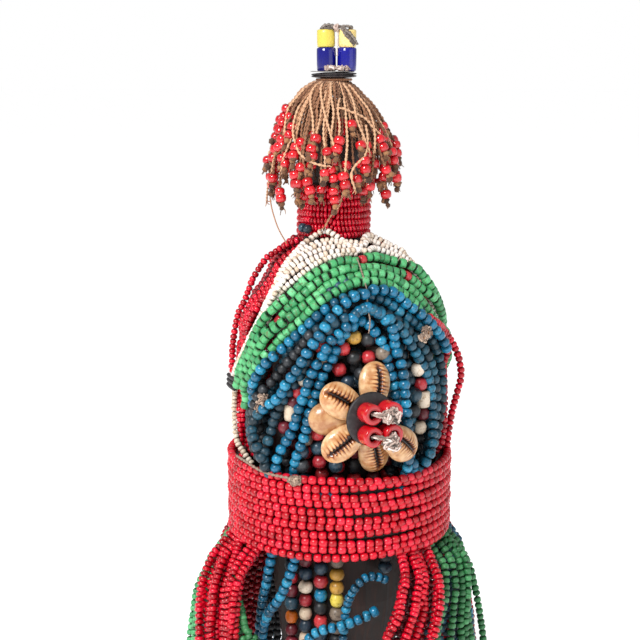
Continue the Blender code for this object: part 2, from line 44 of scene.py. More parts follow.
# The part's own sizes, in metres, repeated because the frame holds only its solids
HEM_HEIGHT = 0.020
SKIRT_LENGTH = 0.0855
BELT_HEIGHT = 0.027
MANTLE_HEIGHT = 0.070
NECK_WRAP_HEIGHT = 0.0165
HAIR_RISE = 0.0325
HAIR_HANG = 0.0065
DISC_THICKNESS = 0.0006
BLUE_BEAD_LENGTH = 0.0071
YELLOW_BEAD_LENGTH = 0.0052
TORSO_RADIUS = 0.022
NECK_RADIUS = 0.0092
MANTLE_RADIUS = 0.036
BELT_RADIUS = 0.0372
BELT_THICKNESS = 0.0030
HEM_RADIUS = 0.056
NECK_WRAP_RADIUS = 0.012
HAIR_RADIUS = 0.0226
DISC_RADIUS = 0.0072
TOP_BEAD_RADIUS = 0.00285
INNER_BEAD = 0.0046
ROSETTE_RADIUS = 0.0085
ROSETTE_THICKNESS = 0.0012
ROSETTE_BEAD_RADIUS = 0.0031
ROSETTE_BEAD_LENGTH = 0.0056
COWRIE_LENGTH = 0.0150
COWRIE_WIDTH = 0.0104
COWRIE_DEPTH = 0.0066
GAP = 0.0003
NECK_SHIFT = -0.002
BELT_BOTTOM = HEM_HEIGHT + SKIRT_LENGTH
BELT_TOP = BELT_BOTTOM + BELT_HEIGHT
NECK_LEVEL = BELT_TOP + MANTLE_HEIGHT
NECK_WRAP_TOP = NECK_LEVEL + NECK_WRAP_HEIGHT
HAIR_TOP = NECK_WRAP_TOP + HAIR_RISE
TUCK = BELT_RADIUS - BELT_THICKNESS - GAP

MANTLE_OUTLINE = (
    (0.00, 0.975), (0.10, 1.000), (0.25, 1.000), (0.40, 0.985), (0.54, 0.955), (0.68, 0.900), (0.79, 0.830),
    (0.87, 0.745), (0.92, 0.650), (0.965, 0.520), (1.00, 0.400), (1.05, 0.335),
)
TORSO_OUTLINE = ((0.00, 1.00), (0.45, 1.00), (0.68, 0.80), (0.84, 0.42), (0.95, 0.10), (1.00, 0.00))
SKIRT_FLARE = ((0.00, 0.00), (0.08, 0.36), (0.18, 0.56), (0.30, 0.67), (0.45, 0.77), (1.00, 1.00))
HAIR_OUTLINE = (
    (0.0, 0.27), (0.03, 0.42), (0.07, 0.54), (0.22, 0.76), (0.42, 0.89), (0.62, 0.97), (0.8, 1.0),
    (1.0, 0.96),
)


def outline(points, share):
    shares, values = zip(*points)
    return np.interp(share, shares, values)


def shift(height):
    rise = np.clip(((height - BELT_TOP) / MANTLE_HEIGHT - 0.46) / 0.52, 0, 1)
    return NECK_SHIFT * rise


def torso(height):
    share = outline(TORSO_OUTLINE, (height - BELT_TOP) / MANTLE_HEIGHT)
    return NECK_RADIUS + (TORSO_RADIUS - NECK_RADIUS) * share


def mantle(height):
    free = MANTLE_RADIUS * outline(MANTLE_OUTLINE, (height - BELT_TOP) / MANTLE_HEIGHT)
    return np.minimum(free, TUCK + 0.6 * (height - BELT_TOP))


def skirt(height):
    return TUCK + (HEM_RADIUS - TUCK) * outline(SKIRT_FLARE, (BELT_BOTTOM - height) / SKIRT_LENGTH)


def spots(angle, height, radius):
    """Points at angles round the doll in degrees, 0 at the front and positive towards +X."""
    turn = np.radians(angle)
    return np.stack([shift(height) + radius * np.sin(turn), -radius * np.cos(turn), height + 0 * turn], -1)


def smooth_line(points, count):
    """Points evenly spaced by parameter on a smooth line through control points."""
    points = np.asarray(points, float)
    last = len(points) - 1
    place = np.linspace(0, last, count)
    step = np.minimum(place.astype(int), last - 1)
    part = (place - step)[:, None]
    before, start, end, after = (points[np.clip(step + k, 0, last)] for k in (-1, 0, 1, 2))
    line = 2 * start + (end - before) * part + (2 * before - 5 * start + 4 * end - after) * part**2
    return (line + (3 * start - before - 3 * end + after) * part**3) / 2


def unit(vectors):
    return vectors / np.maximum(np.linalg.norm(vectors, axis=-1, keepdims=True), 1e-12)


def mm(*numbers):
    return np.array(numbers) * MM


def lengths_along(path):
    """How far along a path each of its points lies."""
    return np.r_[0, np.cumsum(np.linalg.norm(np.diff(path, axis=0), axis=1))]


def points_at(places, run, path):
    return np.stack([np.interp(places, run, path[:, k]) for k in range(3)], -1)


# Shapes that are stamped many times: vertices, faces and a rim value, 1 at a bead's holes and 0 between. On
# beads the rim value darkens the glass with dust and painted shade


def turned_shape(profile, radius, length, sides):
    """A small turned body along Z. Its profile holds shares of the radius and of the half length, and the rim
    value there."""
    shape = bmesh.new()
    rim = shape.verts.layers.float.new("rim")
    ring = []
    # Each point's third value, worn, is its rim value: how much dust and painted shade darken it
    for out, up, worn in profile:
        vertex = shape.verts.new((out * radius, 0, up * length / 2))
        vertex[rim] = worn
        ring.append(vertex)
    edges = [shape.edges.new(pair) for pair in zip(ring, ring[1:])]
    bmesh.ops.spin(shape, geom=ring + edges, cent=(0, 0, 0), axis=(0, 0, 1), angle=math.tau, steps=sides,
                   use_merge=True)
    bmesh.ops.remove_doubles(shape, verts=shape.verts, dist=1e-7)
    return stored(shape)


def stored(shape):
    """Arrays of a bmesh, for stamping: points, corner indices, corners per face, rim values."""
    bmesh.ops.recalc_face_normals(shape, faces=shape.faces)
    shape.verts.index_update()
    rim = shape.verts.layers.float.get("rim")
    points = np.array([v.co for v in shape.verts])
    # worn holds the rim values: dust and painted shade at a bead's holes, slit shade and tooth lines on a
    # shell
    worn = np.array([v[rim] if rim else 0.0 for v in shape.verts])
    corners = np.array([v.index for f in shape.faces for v in f.verts])
    counts = np.array([len(f.verts) for f in shape.faces])
    shape.free()
    return points, corners, counts, worn


@functools.cache
def tube_shape(rings, sides):
    """A unit tube whose Z counts the rings, closed at both ends."""
    shape = bmesh.new()
    bmesh.ops.create_grid(shape, x_segments=sides, y_segments=rings - 1, size=0.5)
    for vertex in shape.verts:
        turn = (vertex.co.x + 0.5) * math.tau
        vertex.co = (math.cos(turn), math.sin(turn), round((vertex.co.y + 0.5) * (rings - 1)))
    bmesh.ops.remove_doubles(shape, verts=shape.verts, dist=1e-4)
    bmesh.ops.holes_fill(shape, edges=shape.edges, sides=0)
    return stored(shape)



class Piece:
    """Collects stamped shapes for one object of the scene."""

    def __init__(self, name, finishes):
        self.name, self.finishes = name, finishes
        self.parts, self.total = [], 0

    def add(self, points, corners, counts, rim, grain, finish):
        slots = np.full(len(counts), self.finishes.index(finish)) if isinstance(finish, str) else finish
        self.parts.append((points, corners + self.total, counts, rim, grain, slots))
        self.total += len(points)

    def stamp(self, shape, centres, frames, grain, finish):
        """One copy of the shape for each centre and frame, whose columns are its sides, sizes included."""
        points, corners, counts, rim = shape
        copies, size = len(centres), len(points)
        placed = np.einsum("nij,vj->nvi", frames, points) + centres[:, None]
        offsets = np.arange(copies)[:, None] * size
        if not isinstance(finish, str):
            finish = np.repeat([self.finishes.index(each) for each in finish], len(counts))
        self.add(placed.reshape(-1, 3), (corners[None] + offsets).reshape(-1), np.tile(counts, copies),
                 np.tile(rim, copies), np.repeat(grain, size), finish)

    def tube(self, path, radius, finish, sides=6, grain=0.5, flat=1.0, twist=0.0):
        """A tube along a path. flat and twist, in turns for each metre, make the two plies of a cord show."""
        path = np.asarray(path)
        points, corners, counts, rim = tube_shape(len(path), sides)
        way = unit(np.gradient(path, axis=0))
        first = unit(np.cross(way, (0.0, 0.0, 1.0)))
        second = np.cross(way, first)
        run = lengths_along(path)
        ring = np.round(points[:, 2]).astype(int)
        turn = (run * twist * math.tau)[ring]
        x, y = points[:, 0], points[:, 1] * flat
        x, y = x * np.cos(turn) - y * np.sin(turn), x * np.sin(turn) + y * np.cos(turn)
        radius = np.broadcast_to(radius, len(path))[ring]
        placed = path[ring] + first[ring] * (x * radius)[:, None] + second[ring] * (y * radius)[:, None]
        self.add(placed, corners, counts, rim, np.full(len(points), grain), finish)

    def make(self, *nodes, slot):
        """Builds the object, and lets it ride on the doll in place of the given nodes."""
        points, corners, counts, rim, grain, slots = (np.concatenate(column) for column in zip(*self.parts))
        mesh = bpy.data.meshes.new(self.name)
        mesh.vertices.add(len(points))
        mesh.vertices.foreach_set("co", points.astype(np.float32).reshape(-1))
        mesh.loops.add(len(corners))
        mesh.loops.foreach_set("vertex_index", corners.astype(np.int32))
        mesh.polygons.add(len(counts))
        mesh.polygons.foreach_set("loop_start", np.r_[0, np.cumsum(counts)[:-1]].astype(np.int32))
        for finish in self.finishes:
            mesh.materials.append(bpy.data.materials[finish])
        mesh.polygons.foreach_set("material_index", slots.astype(np.int32))
        for label, values in (("grain", grain), ("rim", rim)):
            mesh.attributes.new(label, "FLOAT", "POINT").data.foreach_set("value", values.astype(np.float32))
        mesh.update(calc_edges=True)
        mesh.validate()
        mesh.shade_smooth()
        item = bpy.data.objects.new(self.name, mesh)
        bpy.context.scene.collection.objects.link(item)
        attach(item, "root")
        if nodes:
            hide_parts(*nodes)


def both_halves(*half):
    """A bead's profile from pole to pole, mirrored from its lower half."""
    # worn is the rim value of dust and painted shade
    return half + tuple((out, -up, worn) for out, up, worn in reversed(half) if up)


# Bead shapes: share of the radius, share of the half length, and how much dust and painted shade darken that
# point
ROUND_BEAD = both_halves((0, -0.80, 1), (0.42, -1.0, 0.9), (0.82, -0.66, 0.25), (1.0, 0, 0))
BARREL_BEAD = both_halves((0, -0.85, 1), (0.55, -1.0, 0.9), (0.93, -0.62, 0.2), (1.0, 0, 0))
CYLINDER_BEAD = both_halves((0, -0.85, 1), (0.62, -1.0, 0.9), (0.94, -0.88, 0.5), (1.0, -0.45, 0))
PLUMP_BEAD = both_halves((0, -0.85, 1), (0.5, -1.0, 0.9), (0.88, -0.68, 0.2), (1.0, 0, 0))
SEED_BEAD = both_halves((0, -0.85, 1), (0.62, -1.0, 0.9), (1.0, -0.48, 0.1))
PLAIN_BEAD = both_halves((0, -0.9, 1), (0.95, -0.55, 0.2))


class Bead:
    """A kind of bead: profile, width, length and pitch along its thread in millimetres, and sides."""

    def __init__(self, profile, width, length, pitch, sides):
        self.width, self.length, self.pitch = width * MM, length * MM, pitch * MM
        self.shape = turned_shape(profile, self.width / 2, self.length, sides)


WHITE = Bead(BARREL_BEAD, 2.1, 1.42, 1.50, 8)
GREEN = Bead(CYLINDER_BEAD, 3.0, 2.3, 2.46, 10)
BLUE = Bead(ROUND_BEAD, 3.55, 3.0, 2.95, 12)
BACK_RED = Bead(SEED_BEAD, 2.5, 1.75, 1.8, 7)
BELT_RED = Bead(PLUMP_BEAD, 2.72, 2.7, 2.88, 10)
LOOSE_RED = Bead(SEED_BEAD, 2.25, 1.6, 1.66, 7)
NECK_RED = Bead(SEED_BEAD, 2.35, 1.12, 1.18, 7)
SKIRT_RED = Bead(SEED_BEAD, 2.85, 1.6, 1.68, 7)
SKIRT_GREEN = Bead(SEED_BEAD, 2.55, 1.95, 2.08, 7)
SKIRT_BLUE = Bead(SEED_BEAD, 2.9, 2.1, 2.25, 8)
OPENING_BLUE = Bead(BARREL_BEAD, 3.3, 2.6, 2.75, 12)
HIDDEN = Bead(PLAIN_BEAD, 3.0, 2.4, 2.6, 6)
LARGE = Bead(ROUND_BEAD, 4.6, 4.3, 4.5, 16)
LARGE_CYLINDER = Bead(CYLINDER_BEAD, 4.6, 5.4, 5.5, 16)
TASSEL_RED = Bead(BARREL_BEAD, 3.2, 2.6, 2.6, 12)

# Every bead laid so far: its middle and its radius
HEAP = [np.zeros((0, 3)), np.zeros(0)]
CHANCE = np.random.default_rng(7)


def turned_by_chance(way):
    """Frames whose Z follows the given way, each turned about it by chance."""
    side = unit(np.cross(way, CHANCE.normal(0, 1, way.shape)))
    return np.stack([side, np.cross(way, side), way], -1)


def settle(angle, height, radius, size, ride):
    """Lifts the beads of a strand off those already there, as a strand laid over others rests on them."""
    points, sizes = HEAP
    turn = np.radians(angle)
    out = np.stack([np.sin(turn), -np.cos(turn), 0 * turn], -1)
    middle = np.stack([shift(height) + 0 * turn, 0 * turn, height + 0 * turn], -1)
    lifted = radius.copy()
    if len(points) and ride > 0:
        near = (np.abs(points[:, 2][None] - height[:, None]) < 0.005).any(0)
        away = points[near][None] - middle[:, None]
        inwards = (away * out[:, None]).sum(-1)
        room = inwards**2 - (away**2).sum(-1) + (0.93 * (size / 2 + sizes[near])) ** 2
        reach = inwards + np.sqrt(np.maximum(room, 0))
        reach = np.where((room > 0) & (inwards > 0), reach, 0)
        if reach.size:
            lifted = np.maximum(lifted, reach.max(1))
    lift = np.minimum(lifted - radius, ride * size)
    # A lifted bead takes its neighbours part of the way with it
    padded = np.pad(lift, 2, mode="edge")
    top = np.maximum.reduce([padded[k : len(padded) - 2 + k] for k in range(3)])
    return radius + np.convolve(top, (0.25, 0.5, 0.25), mode="valid")


def strand(piece, points, bead, finish, skin, depth, ride, wander=0.25):
    """A string of beads along points of angle and height, lying depth bead widths under the skin. It rides
    over others by at most ride bead widths, and wanders sideways."""
    fine = smooth_line(points, 20 * len(points))
    surface = spots(fine[:, 0], fine[:, 1], skin(fine[:, 1]) - bead.width / 2)
    run = lengths_along(surface)
    count = max(int(run[-1] / bead.pitch), 2)
    marks = (np.arange(count) + CHANCE.uniform(0.1, 0.9)) * run[-1] / count
    marks = marks + CHANCE.normal(0, 0.05 * bead.pitch, count)
    angle, height = np.interp(marks, run, fine[:, 0]), np.interp(marks, run, fine[:, 1])
    radius = skin(height) - bead.width * (0.5 + depth)
    waves = CHANCE.uniform(0, math.tau, 3)
    bend = sum(np.sin(marks / (w * MM) + p) for w, p in zip((9, 4.2, 2.1), waves)) * wander * bead.width / 3
    angle = angle + np.degrees(bend / np.maximum(radius, 0.01))
    radius = settle(angle, height, radius, bead.width, ride)
    if callable(finish):
        finish = [finish(a, h / MM) for a, h in zip(angle, height)]
    lay(piece, spots(angle, height, radius), bead, finish)


def lay(piece, middles, bead, finish, thread="thread"):
    """Beads with their holes along the line of their middles, and the thread through them."""
    count = len(middles)
    way = unit(np.gradient(middles, axis=0) + CHANCE.normal(0, 0.09 * bead.pitch, (count, 3)))
    frames = turned_by_chance(way)
    size = 1 + CHANCE.normal(0, 0.035, count).clip(-0.08, 0.08)
    long = 1 + CHANCE.normal(0, 0.05, count).clip(-0.12, 0.10)
    frames = frames * np.stack([size, size, long], -1)[:, None]
    piece.stamp(bead.shape, middles, frames, CHANCE.random(count), finish)
    if thread:
        spare = way[[0, -1]] * bead.pitch / 2
        ends = np.concatenate([middles[:1] - spare[:1], middles, middles[-1:] + spare[1:]])
        piece.tube(ends[:: 1 if len(ends) < 30 else 2], 0.22 * MM, thread, sides=3)
    HEAP[0] = np.concatenate([HEAP[0], middles])
    HEAP[1] = np.concatenate([HEAP[1], np.full(count, bead.width / 2)])


def ring_of_beads(piece, middles, bead, finish, lean, uneven=0.0):
    """Beads strung once round the doll, which lean out of line and differ in size by chance."""
    ring = np.concatenate([middles[-1:], middles, middles[:1]])
    frames = turned_by_chance(unit(ring[2:] - ring[:-2] + CHANCE.normal(0, lean, middles.shape)))
    if uneven:
        frames = frames * (1 + CHANCE.normal(0, uneven, len(middles)).clip(-0.07, 0.07))[:, None, None]
    piece.stamp(bead.shape, middles, frames, CHANCE.random(len(middles)), finish)


# Materials


def linear(code):
    """An sRGB hex colour as linear red, green, blue and alpha."""
    parts = [int(code[k : k + 2], 16) / 255 for k in (0, 2, 4)]
    return (*(p / 12.92 if p <= 0.04045 else ((p + 0.055) / 1.055) ** 2.4 for p in parts), 1.0)


def feed(material, node, inputs):
    """Gives a node's inputs, by name or number, a value of their own or another node's output."""
    for key, value in inputs.items():
        if isinstance(value, bpy.types.NodeSocket):
            material.node_tree.links.new(value, node.inputs[key])
        else:
            node.inputs[key].default_value = value


def add(material, kind, inputs=None, stops=None, **settings):
    """Adds a node: settings are its own values, stops its ramp's colours by their places."""
    made = material.node_tree.nodes.new(kind)
    for key, value in settings.items():
        setattr(made, key, value)
    feed(material, made, inputs or {})
    if stops:
        ramp = made.color_ramp
        while len(ramp.elements) < len(stops):
            ramp.elements.new(0.5)
        for element, (place, code) in zip(ramp.elements, stops.items()):
            element.position = place
            element.color = linear(code) if isinstance(code, str) else (code, code, code, 1.0)
    return made


def started(name):
    material = bpy.data.materials.new(name)
    material.use_nodes = True
    return material, material.node_tree.nodes["Principled BSDF"]


# Stains on the beads are about 0.9 mm wide, with finer specks in them, and the shells' clouds 2 mm
STAINS_PER_METRE = 1100.0
CLOUDS_PER_METRE = 500.0


def bead_glass(name, shades, grime_and_shade, worn, worn_share, roughness, coat=0.0, dirt_and_shade=0.75, pit=0.035):
    """Pressed or wound opaque glass: shades are the colours of single beads, grime is the colour round the
    holes where beads meet, partly dust and partly painted shade, with dirt its strength; worn is the colour
    of rubbed patches, and pit the depth of its dents in millimetres."""
    material, shader = started(name)
    grain = add(material, "ShaderNodeAttribute", attribute_name="grain")
    rim = add(material, "ShaderNodeAttribute", attribute_name="rim")
    place = add(material, "ShaderNodeTexCoord")
    colour = add(material, "ShaderNodeValToRGB", {"Fac": grain.outputs["Fac"]}, shades)
    stain = add(material, "ShaderNodeTexNoise", {"Vector": place.outputs["Object"], "Scale": STAINS_PER_METRE,
                                                 "Detail": 4.0, "Roughness": 0.65})
    clean_share = 0.2 * (0.5 - worn_share)
    stained = add(material, "ShaderNodeValToRGB", {"Fac": stain.outputs["Fac"]},
                  {0.50 + clean_share: 0.0, 0.68 + clean_share: 1.0})
    body = add(material, "ShaderNodeMix", {"Factor": stained.outputs["Color"], 6: colour.outputs["Color"],
                                           7: linear(worn)}, data_type="RGBA")
    # Towards the holes, where beads meet, the colour turns to grime: dust and painted shade
    edge = add(material, "ShaderNodeMath", {0: rim.outputs["Fac"], 1: 1.6}, operation="POWER")
    edge = add(material, "ShaderNodeMath", {0: edge.outputs[0], 1: dirt_and_shade}, operation="MULTIPLY")
    dirtied_and_shaded = add(material, "ShaderNodeMix", {"Factor": edge.outputs[0], 6: body.outputs[2], 7: linear(grime_and_shade)},
                data_type="RGBA")
    span = {"From Min": 0.35, "From Max": 0.7, "To Min": roughness[0], "To Max": roughness[1]}
    rough = add(material, "ShaderNodeMapRange", {"Value": stain.outputs["Fac"], **span})
    dents = add(material, "ShaderNodeBump", {"Height": stain.outputs["Fac"], "Strength": 0.6,
                                             "Distance": pit * MM})
    feed(material, shader, {"Base Color": dirtied_and_shaded.outputs[2], "Roughness": rough.outputs[0],
                            "Normal": dents.outputs[0], "IOR": 1.5, "Coat Weight": coat,
                            "Coat Roughness": 0.12})


# Red glass seed beads: even lipstick red with a soft shine, darker round the holes with dust and painted
# shade
bead_glass("red seed glass", {0: "A00014", 0.35: "C80220", 0.75: "DC0428", 1: "E81638"}, "2A0006", "8C0418",
           0.2, (0.2, 0.36), 0.08)
# The same red on the belt: rounder, a little paler and chalkier from rubbing
bead_glass("rubbed red glass", {0: "AC0418", 0.4: "CC0620", 0.8: "DC0E2C", 1: "E6203C"}, "280005", "9C081C",
           0.25, (0.24, 0.42), 0.05)
# Older, deeper red of the side and back strands
bead_glass("deep red glass", {0: "860212", 0.4: "A8041A", 0.8: "BE0822", 1: "D0142E"}, "240106", "7C0414",
           0.3, (0.24, 0.42), 0.05)
# Chalky white trade beads, brown in the joints with dust and painted shade
bead_glass("chalk white glass", {0: "D8C0A8", 0.25: "EADBCB", 0.6: "F5EBE2", 1: "FCF7F2"}, "765840", "D6B697",
           0.3, (0.45, 0.7), 0.0, 0.7)
# Apple green glass, dull, with brown specks, and joints darkened by dust and painted shade
bead_glass("apple green glass", {0: "37905A", 0.35: "46A566", 0.7: "54B673", 1: "70CC8C"}, "0E170C", "5E6236",
           0.38, (0.35, 0.6), 0.0, 1.0)
# Darker green of the skirt
bead_glass("leaf green glass", {0: "24683A", 0.4: "317A46", 0.8: "408D54", 1: "52A267"}, "0C180E", "38522F",
           0.3, (0.35, 0.6), 0.0, 0.9)
# Bright blue wound glass, mottled with dark wear
bead_glass("sky blue glass", {0: "074A66", 0.3: "0A6285", 0.65: "0C759E", 1: "2590B6"}, "0A161B", "123C48",
           0.46, (0.2, 0.42), 0.2, 0.9)
# The same, duller and more stained
bead_glass("mottled blue glass", {0: "104A62", 0.4: "155E78", 0.8: "1A7090", 1: "2A86A4"}, "0C161B", "15333F",
           0.55, (0.28, 0.5), 0.1, 0.9)
# Teal beads, worn nearly to their dark core
bead_glass("worn teal glass", {0: "122833", 0.4: "143A4A", 0.8: "194E62", 1: "1F6076"}, "0A1114", "1B2629",
           0.60, (0.35, 0.6), 0.0, 0.85)
# Charcoal beads with a slate sheen
bead_glass("charcoal glass", {0: "1F2124", 0.5: "2C2F33", 1: "3B3F44"}, "0E0F10", "1B1C1E", 0.5, (0.35, 0.6),
           0.0, 0.8)
# Old wound beads of the inner strands. Blue black, bluer where the light falls on it
bead_glass("slate navy glass", {0: "1B2B38", 0.5: "24394A", 1: "31505F"}, "0C1116", "16222B", 0.4,
           (0.25, 0.5), 0.1)
# Warm brick red with a soft gloss
bead_glass("brick red glass", {0: "98202A", 0.5: "B92B33", 1: "D03A3E"}, "3A0B0E", "7E1C22", 0.3, (0.2, 0.45),
           0.2)
# Maroon, nearly brown in the shade between others
bead_glass("maroon glass", {0: "571620", 0.5: "6E1F2A", 1: "8A2B36"}, "200A0D", "451119", 0.3, (0.25, 0.5),
           0.1)
# Warm cream, brown round its holes with stains and painted shade
bead_glass("cream glass", {0: "CDB59B", 0.5: "DCC9B2", 1: "EBDDCB"}, "6E5238", "A98A68", 0.35, (0.35, 0.6))
# Clear orange, the brightest of the mixed ones
bead_glass("orange glass", {0: "D86A1E", 0.5: "E67A26", 1: "F08A34"}, "5C2608", "B3561A", 0.3, (0.2, 0.4),
           0.2)
# Ochre amber, cloudy with wear
bead_glass("amber glass", {0: "A97A2C", 0.5: "BF8E36", 1: "D0A24A"}, "4A3412", "86602A", 0.4, (0.25, 0.5),
           0.1)
# Pale straw yellow, waxy
bead_glass("straw yellow glass", {0: "D9BE3E", 0.5: "E3CB4C", 1: "EDD968"}, "6B5A1C", "B39A34", 0.3,
           (0.25, 0.5))
# Grey brown like dry clay, dull
bead_glass("grey brown glass", {0: "5E5148", 0.5: "726357", 1: "887868"}, "2A231E", "4B4038", 0.4,
           (0.3, 0.55))
# Large moulded beads of the rosette and the tassel: cherry red with a wet gloss and sharp lights
bead_glass("cherry red glass", {0: "B80C18", 0.5: "CE1420", 1: "DC1E2A"}, "3C0408", "A00E1A", 0.15,
           (0.1, 0.24), 0.6, 0.6, 0.02)
# Deep cobalt tubes of the crown, glossy, with hardly any wear
bead_glass("cobalt glass", {0: "08085C", 0.5: "0C0D78", 1: "141790"}, "07082C", "0C0F56", 0.2, (0.10, 0.22),
           0.3, 0.5, 0.02)
# Lemon yellow tube, satin, darker at its ends and in its hole with dust and painted shade
bead_glass("lemon yellow glass", {0: "CDB848", 0.5: "D7C656", 1: "E0D06A"}, "94742A", "C8AA3C", 0.25,
           (0.3, 0.5), 0.1, 0.4, 0.03)
# Its neighbour, bleached to a chalky pale yellow
bead_glass("pale yellow glass", {0: "E2C26A", 0.5: "EDD384", 1: "F3DE9A"}, "8A5A24", "C8944A", 0.35,
           (0.35, 0.55), 0.0, 0.7, 0.03)


# How far a thread's fibres stand out of it
FUZZ = 0.12 * MM


def fibre(name, pale, mid, dark, width=0.35):
    """Twisted plant fibre or cotton: dull and streaked, with dark hollows between its plies."""
    material, shader = started(name)
    grain = add(material, "ShaderNodeAttribute", attribute_name="grain")
    place = add(material, "ShaderNodeTexCoord")
    streak = add(material, "ShaderNodeTexNoise", {"Vector": place.outputs["Object"], "Detail": 5.0,
                                                  "Scale": 1 / (width * MM), "Roughness": 0.7})
    fibres = {0: streak.outputs["Fac"], 1: grain.outputs["Fac"]}
    mixed = add(material, "ShaderNodeMath", fibres, operation="ADD")
    mixed = add(material, "ShaderNodeMath", {0: mixed.outputs[0], 1: 0.5}, operation="MULTIPLY")
    shades = {0.22: dark, 0.5: mid, 0.75: pale}
    colour = add(material, "ShaderNodeValToRGB", {"Fac": mixed.outputs[0]}, shades)
    bump = add(material, "ShaderNodeBump", {"Height": streak.outputs["Fac"], "Strength": 0.8,
                                            "Distance": FUZZ})
    feed(material, shader, {"Base Color": colour.outputs["Color"], "Normal": bump.outputs[0],
                            "Roughness": 0.9, "Sheen Weight": 0.15})


# Palm or raffia twine of the tassel: pinkish tan with a dry shine, brown between its plies
fibre("tan twine", "E0B28C", "B27E5A", "58321E")
# The same, drawn tight in knots and darkened by grease
fibre("knotted brown twine", "A87850", "704A30", "2E1B10")
# Thick thread gone grey with dust, on the ties in front
fibre("dusty thread", "C9B19B", "9A8170", "4F3E34", 0.25)
# Dark waxed thread through the beads, seen only as shadow lines
fibre("thread", "5A4638", "2C211A", "120D0A", 0.25)
# New white cotton, slightly pink, of the knots on the rosette and the crown
fibre("pale cotton thread", "F5E6DE", "CFB8AC", "80655A", 0.25)
# Grey brown cotton over the top of the crown
fibre("grey brown thread", "9C9188", "6E635B", "352D28", 0.25)


def even_finish(name, pale, mid, dark, scale, stretch, rough, bump):
    """One substance all over: its pattern is stretched noise, with its scale and relief in millimetres."""
    material, shader = started(name)
    place = add(material, "ShaderNodeTexCoord")
    turned = add(material, "ShaderNodeMapping", {"Vector": place.outputs["Object"], "Scale": stretch})
    noise = add(material, "ShaderNodeTexNoise", {"Vector": turned.outputs[0], "Scale": 1.0 / (scale * MM),
                                                 "Detail": 6.0, "Roughness": 0.62})
    shades = {0.32: dark, 0.5: mid, 0.7: pale}
    colour = add(material, "ShaderNodeValToRGB", {"Fac": noise.outputs["Fac"]}, shades)
    roughness = add(material, "ShaderNodeMapRange", {"Value": noise.outputs["Fac"], "From Min": 0.3,
                                                     "From Max": 0.7, "To Min": rough[0], "To Max": rough[1]})
    relief = add(material, "ShaderNodeBump", {"Height": noise.outputs["Fac"], "Strength": 0.7,
                                              "Distance": bump * MM})
    feed(material, shader, {"Base Color": colour.outputs["Color"], "Roughness": roughness.outputs[0],
                            "Normal": relief.outputs[0]})


# Oiled dark hardwood: near black brown with long grain up the figure, dull from handling
even_finish("dark hardwood", "402820", "241510", "110907", 1.6, (1.0, 1.0, 0.10), (0.45, 0.75), 0.12)
# Blackened hide or gourd disc: dull black with grey scuffs
even_finish("blackened hide", "3C3436", "262123", "161314", 1.2, (1.0, 1.0, 1.0), (0.4, 0.65), 0.06)
# Thin grey disc, worn through to its pale underside
even_finish("worn hide", "9A9692", "7C7875", "55504E", 0.8, (1.0, 1.0, 1.0), (0.5, 0.7), 0.04)


def cowrie_finish():
    """Polished cowrie: cream to tan porcelain with a soft gloss, brown between its teeth and on its back, and
    nearly black in its slit as painted shade.
    """
    material, shader = started("polished cowrie")
    tooth = add(material, "ShaderNodeAttribute", attribute_name="rim")
    back = add(material, "ShaderNodeAttribute", attribute_name="grain")
    place = add(material, "ShaderNodeTexCoord")
    noise = add(material, "ShaderNodeTexNoise", {"Vector": place.outputs["Object"], "Scale": CLOUDS_PER_METRE,
                                                 "Detail": 4.0})
    base = add(material, "ShaderNodeValToRGB", {"Fac": back.outputs["Fac"]},
               {0: "F2D6AC", 0.45: "DEB88A", 0.8: "BA8C5E", 1: "8A5E3C"})
    tint = add(material, "ShaderNodeValToRGB", {"Fac": noise.outputs["Fac"]}, {0.35: "C48E5A", 0.6: "FFFFFF"})
    clouds = {"Factor": 0.7, 6: base.outputs["Color"], 7: tint.outputs["Color"]}
    mixed = add(material, "ShaderNodeMix", clouds, data_type="RGBA", blend_type="MULTIPLY")
    # The rim value turns the shell brown at its tooth lines and nearly black in the slit and hole, painted
    # shade of their openings
    lines = add(material, "ShaderNodeValToRGB", {"Fac": tooth.outputs["Fac"]},
                {0: "FFFFFF", 0.22: "E6C69E", 0.45: "A06A40", 0.7: "48240F", 1: "0C0603"})
    stripes = {"Factor": 1.0, 6: mixed.outputs[2], 7: lines.outputs["Color"]}
    done = add(material, "ShaderNodeMix", stripes, data_type="RGBA", blend_type="MULTIPLY")
    feed(material, shader, {"Base Color": done.outputs[2], "Roughness": 0.3, "Coat Weight": 0.35,
                            "Coat Roughness": 0.15})


cowrie_finish()

# Camera, floor and light: the photo looks a little down on the doll from 0.4 m, against plain white.
# Its focal length and the height of its horizon above the middle are in pixels of a picture 640 wide
PICTURE_WIDTH = 640
FOCAL_LENGTH = 1250
HORIZON = 245
SENSOR = 36.0

camera = bpy.data.objects.new("camera", bpy.data.cameras.new("camera"))
camera.data.lens = SENSOR * FOCAL_LENGTH / PICTURE_WIDTH
camera.data.sensor_width = SENSOR
camera.data.clip_start = 0.01
camera.location = (-0.0064, -0.400, 0.253)
camera.rotation_euler = (math.pi / 2 - math.atan(HORIZON / FOCAL_LENGTH), 0, 0)
bpy.context.scene.collection.objects.link(camera)
bpy.context.scene.camera = camera

floor_shape = bmesh.new()
bmesh.ops.create_grid(floor_shape, x_segments=1, y_segments=1, size=20.0)
floor_mesh = bpy.data.meshes.new("floor")
floor_shape.to_mesh(floor_mesh)
floor_shape.free()
floor = bpy.data.objects.new("floor", floor_mesh)
bpy.context.scene.collection.objects.link(floor)
floor_finish, floor_shader = started("white paper")
feed(floor_finish, floor_shader, {"Base Color": (0.95, 0.95, 0.95, 1), "Roughness": 0.9,
                                  "Emission Color": (1, 1, 1, 1), "Emission Strength": 0.6})
floor_mesh.materials.append(floor_finish)


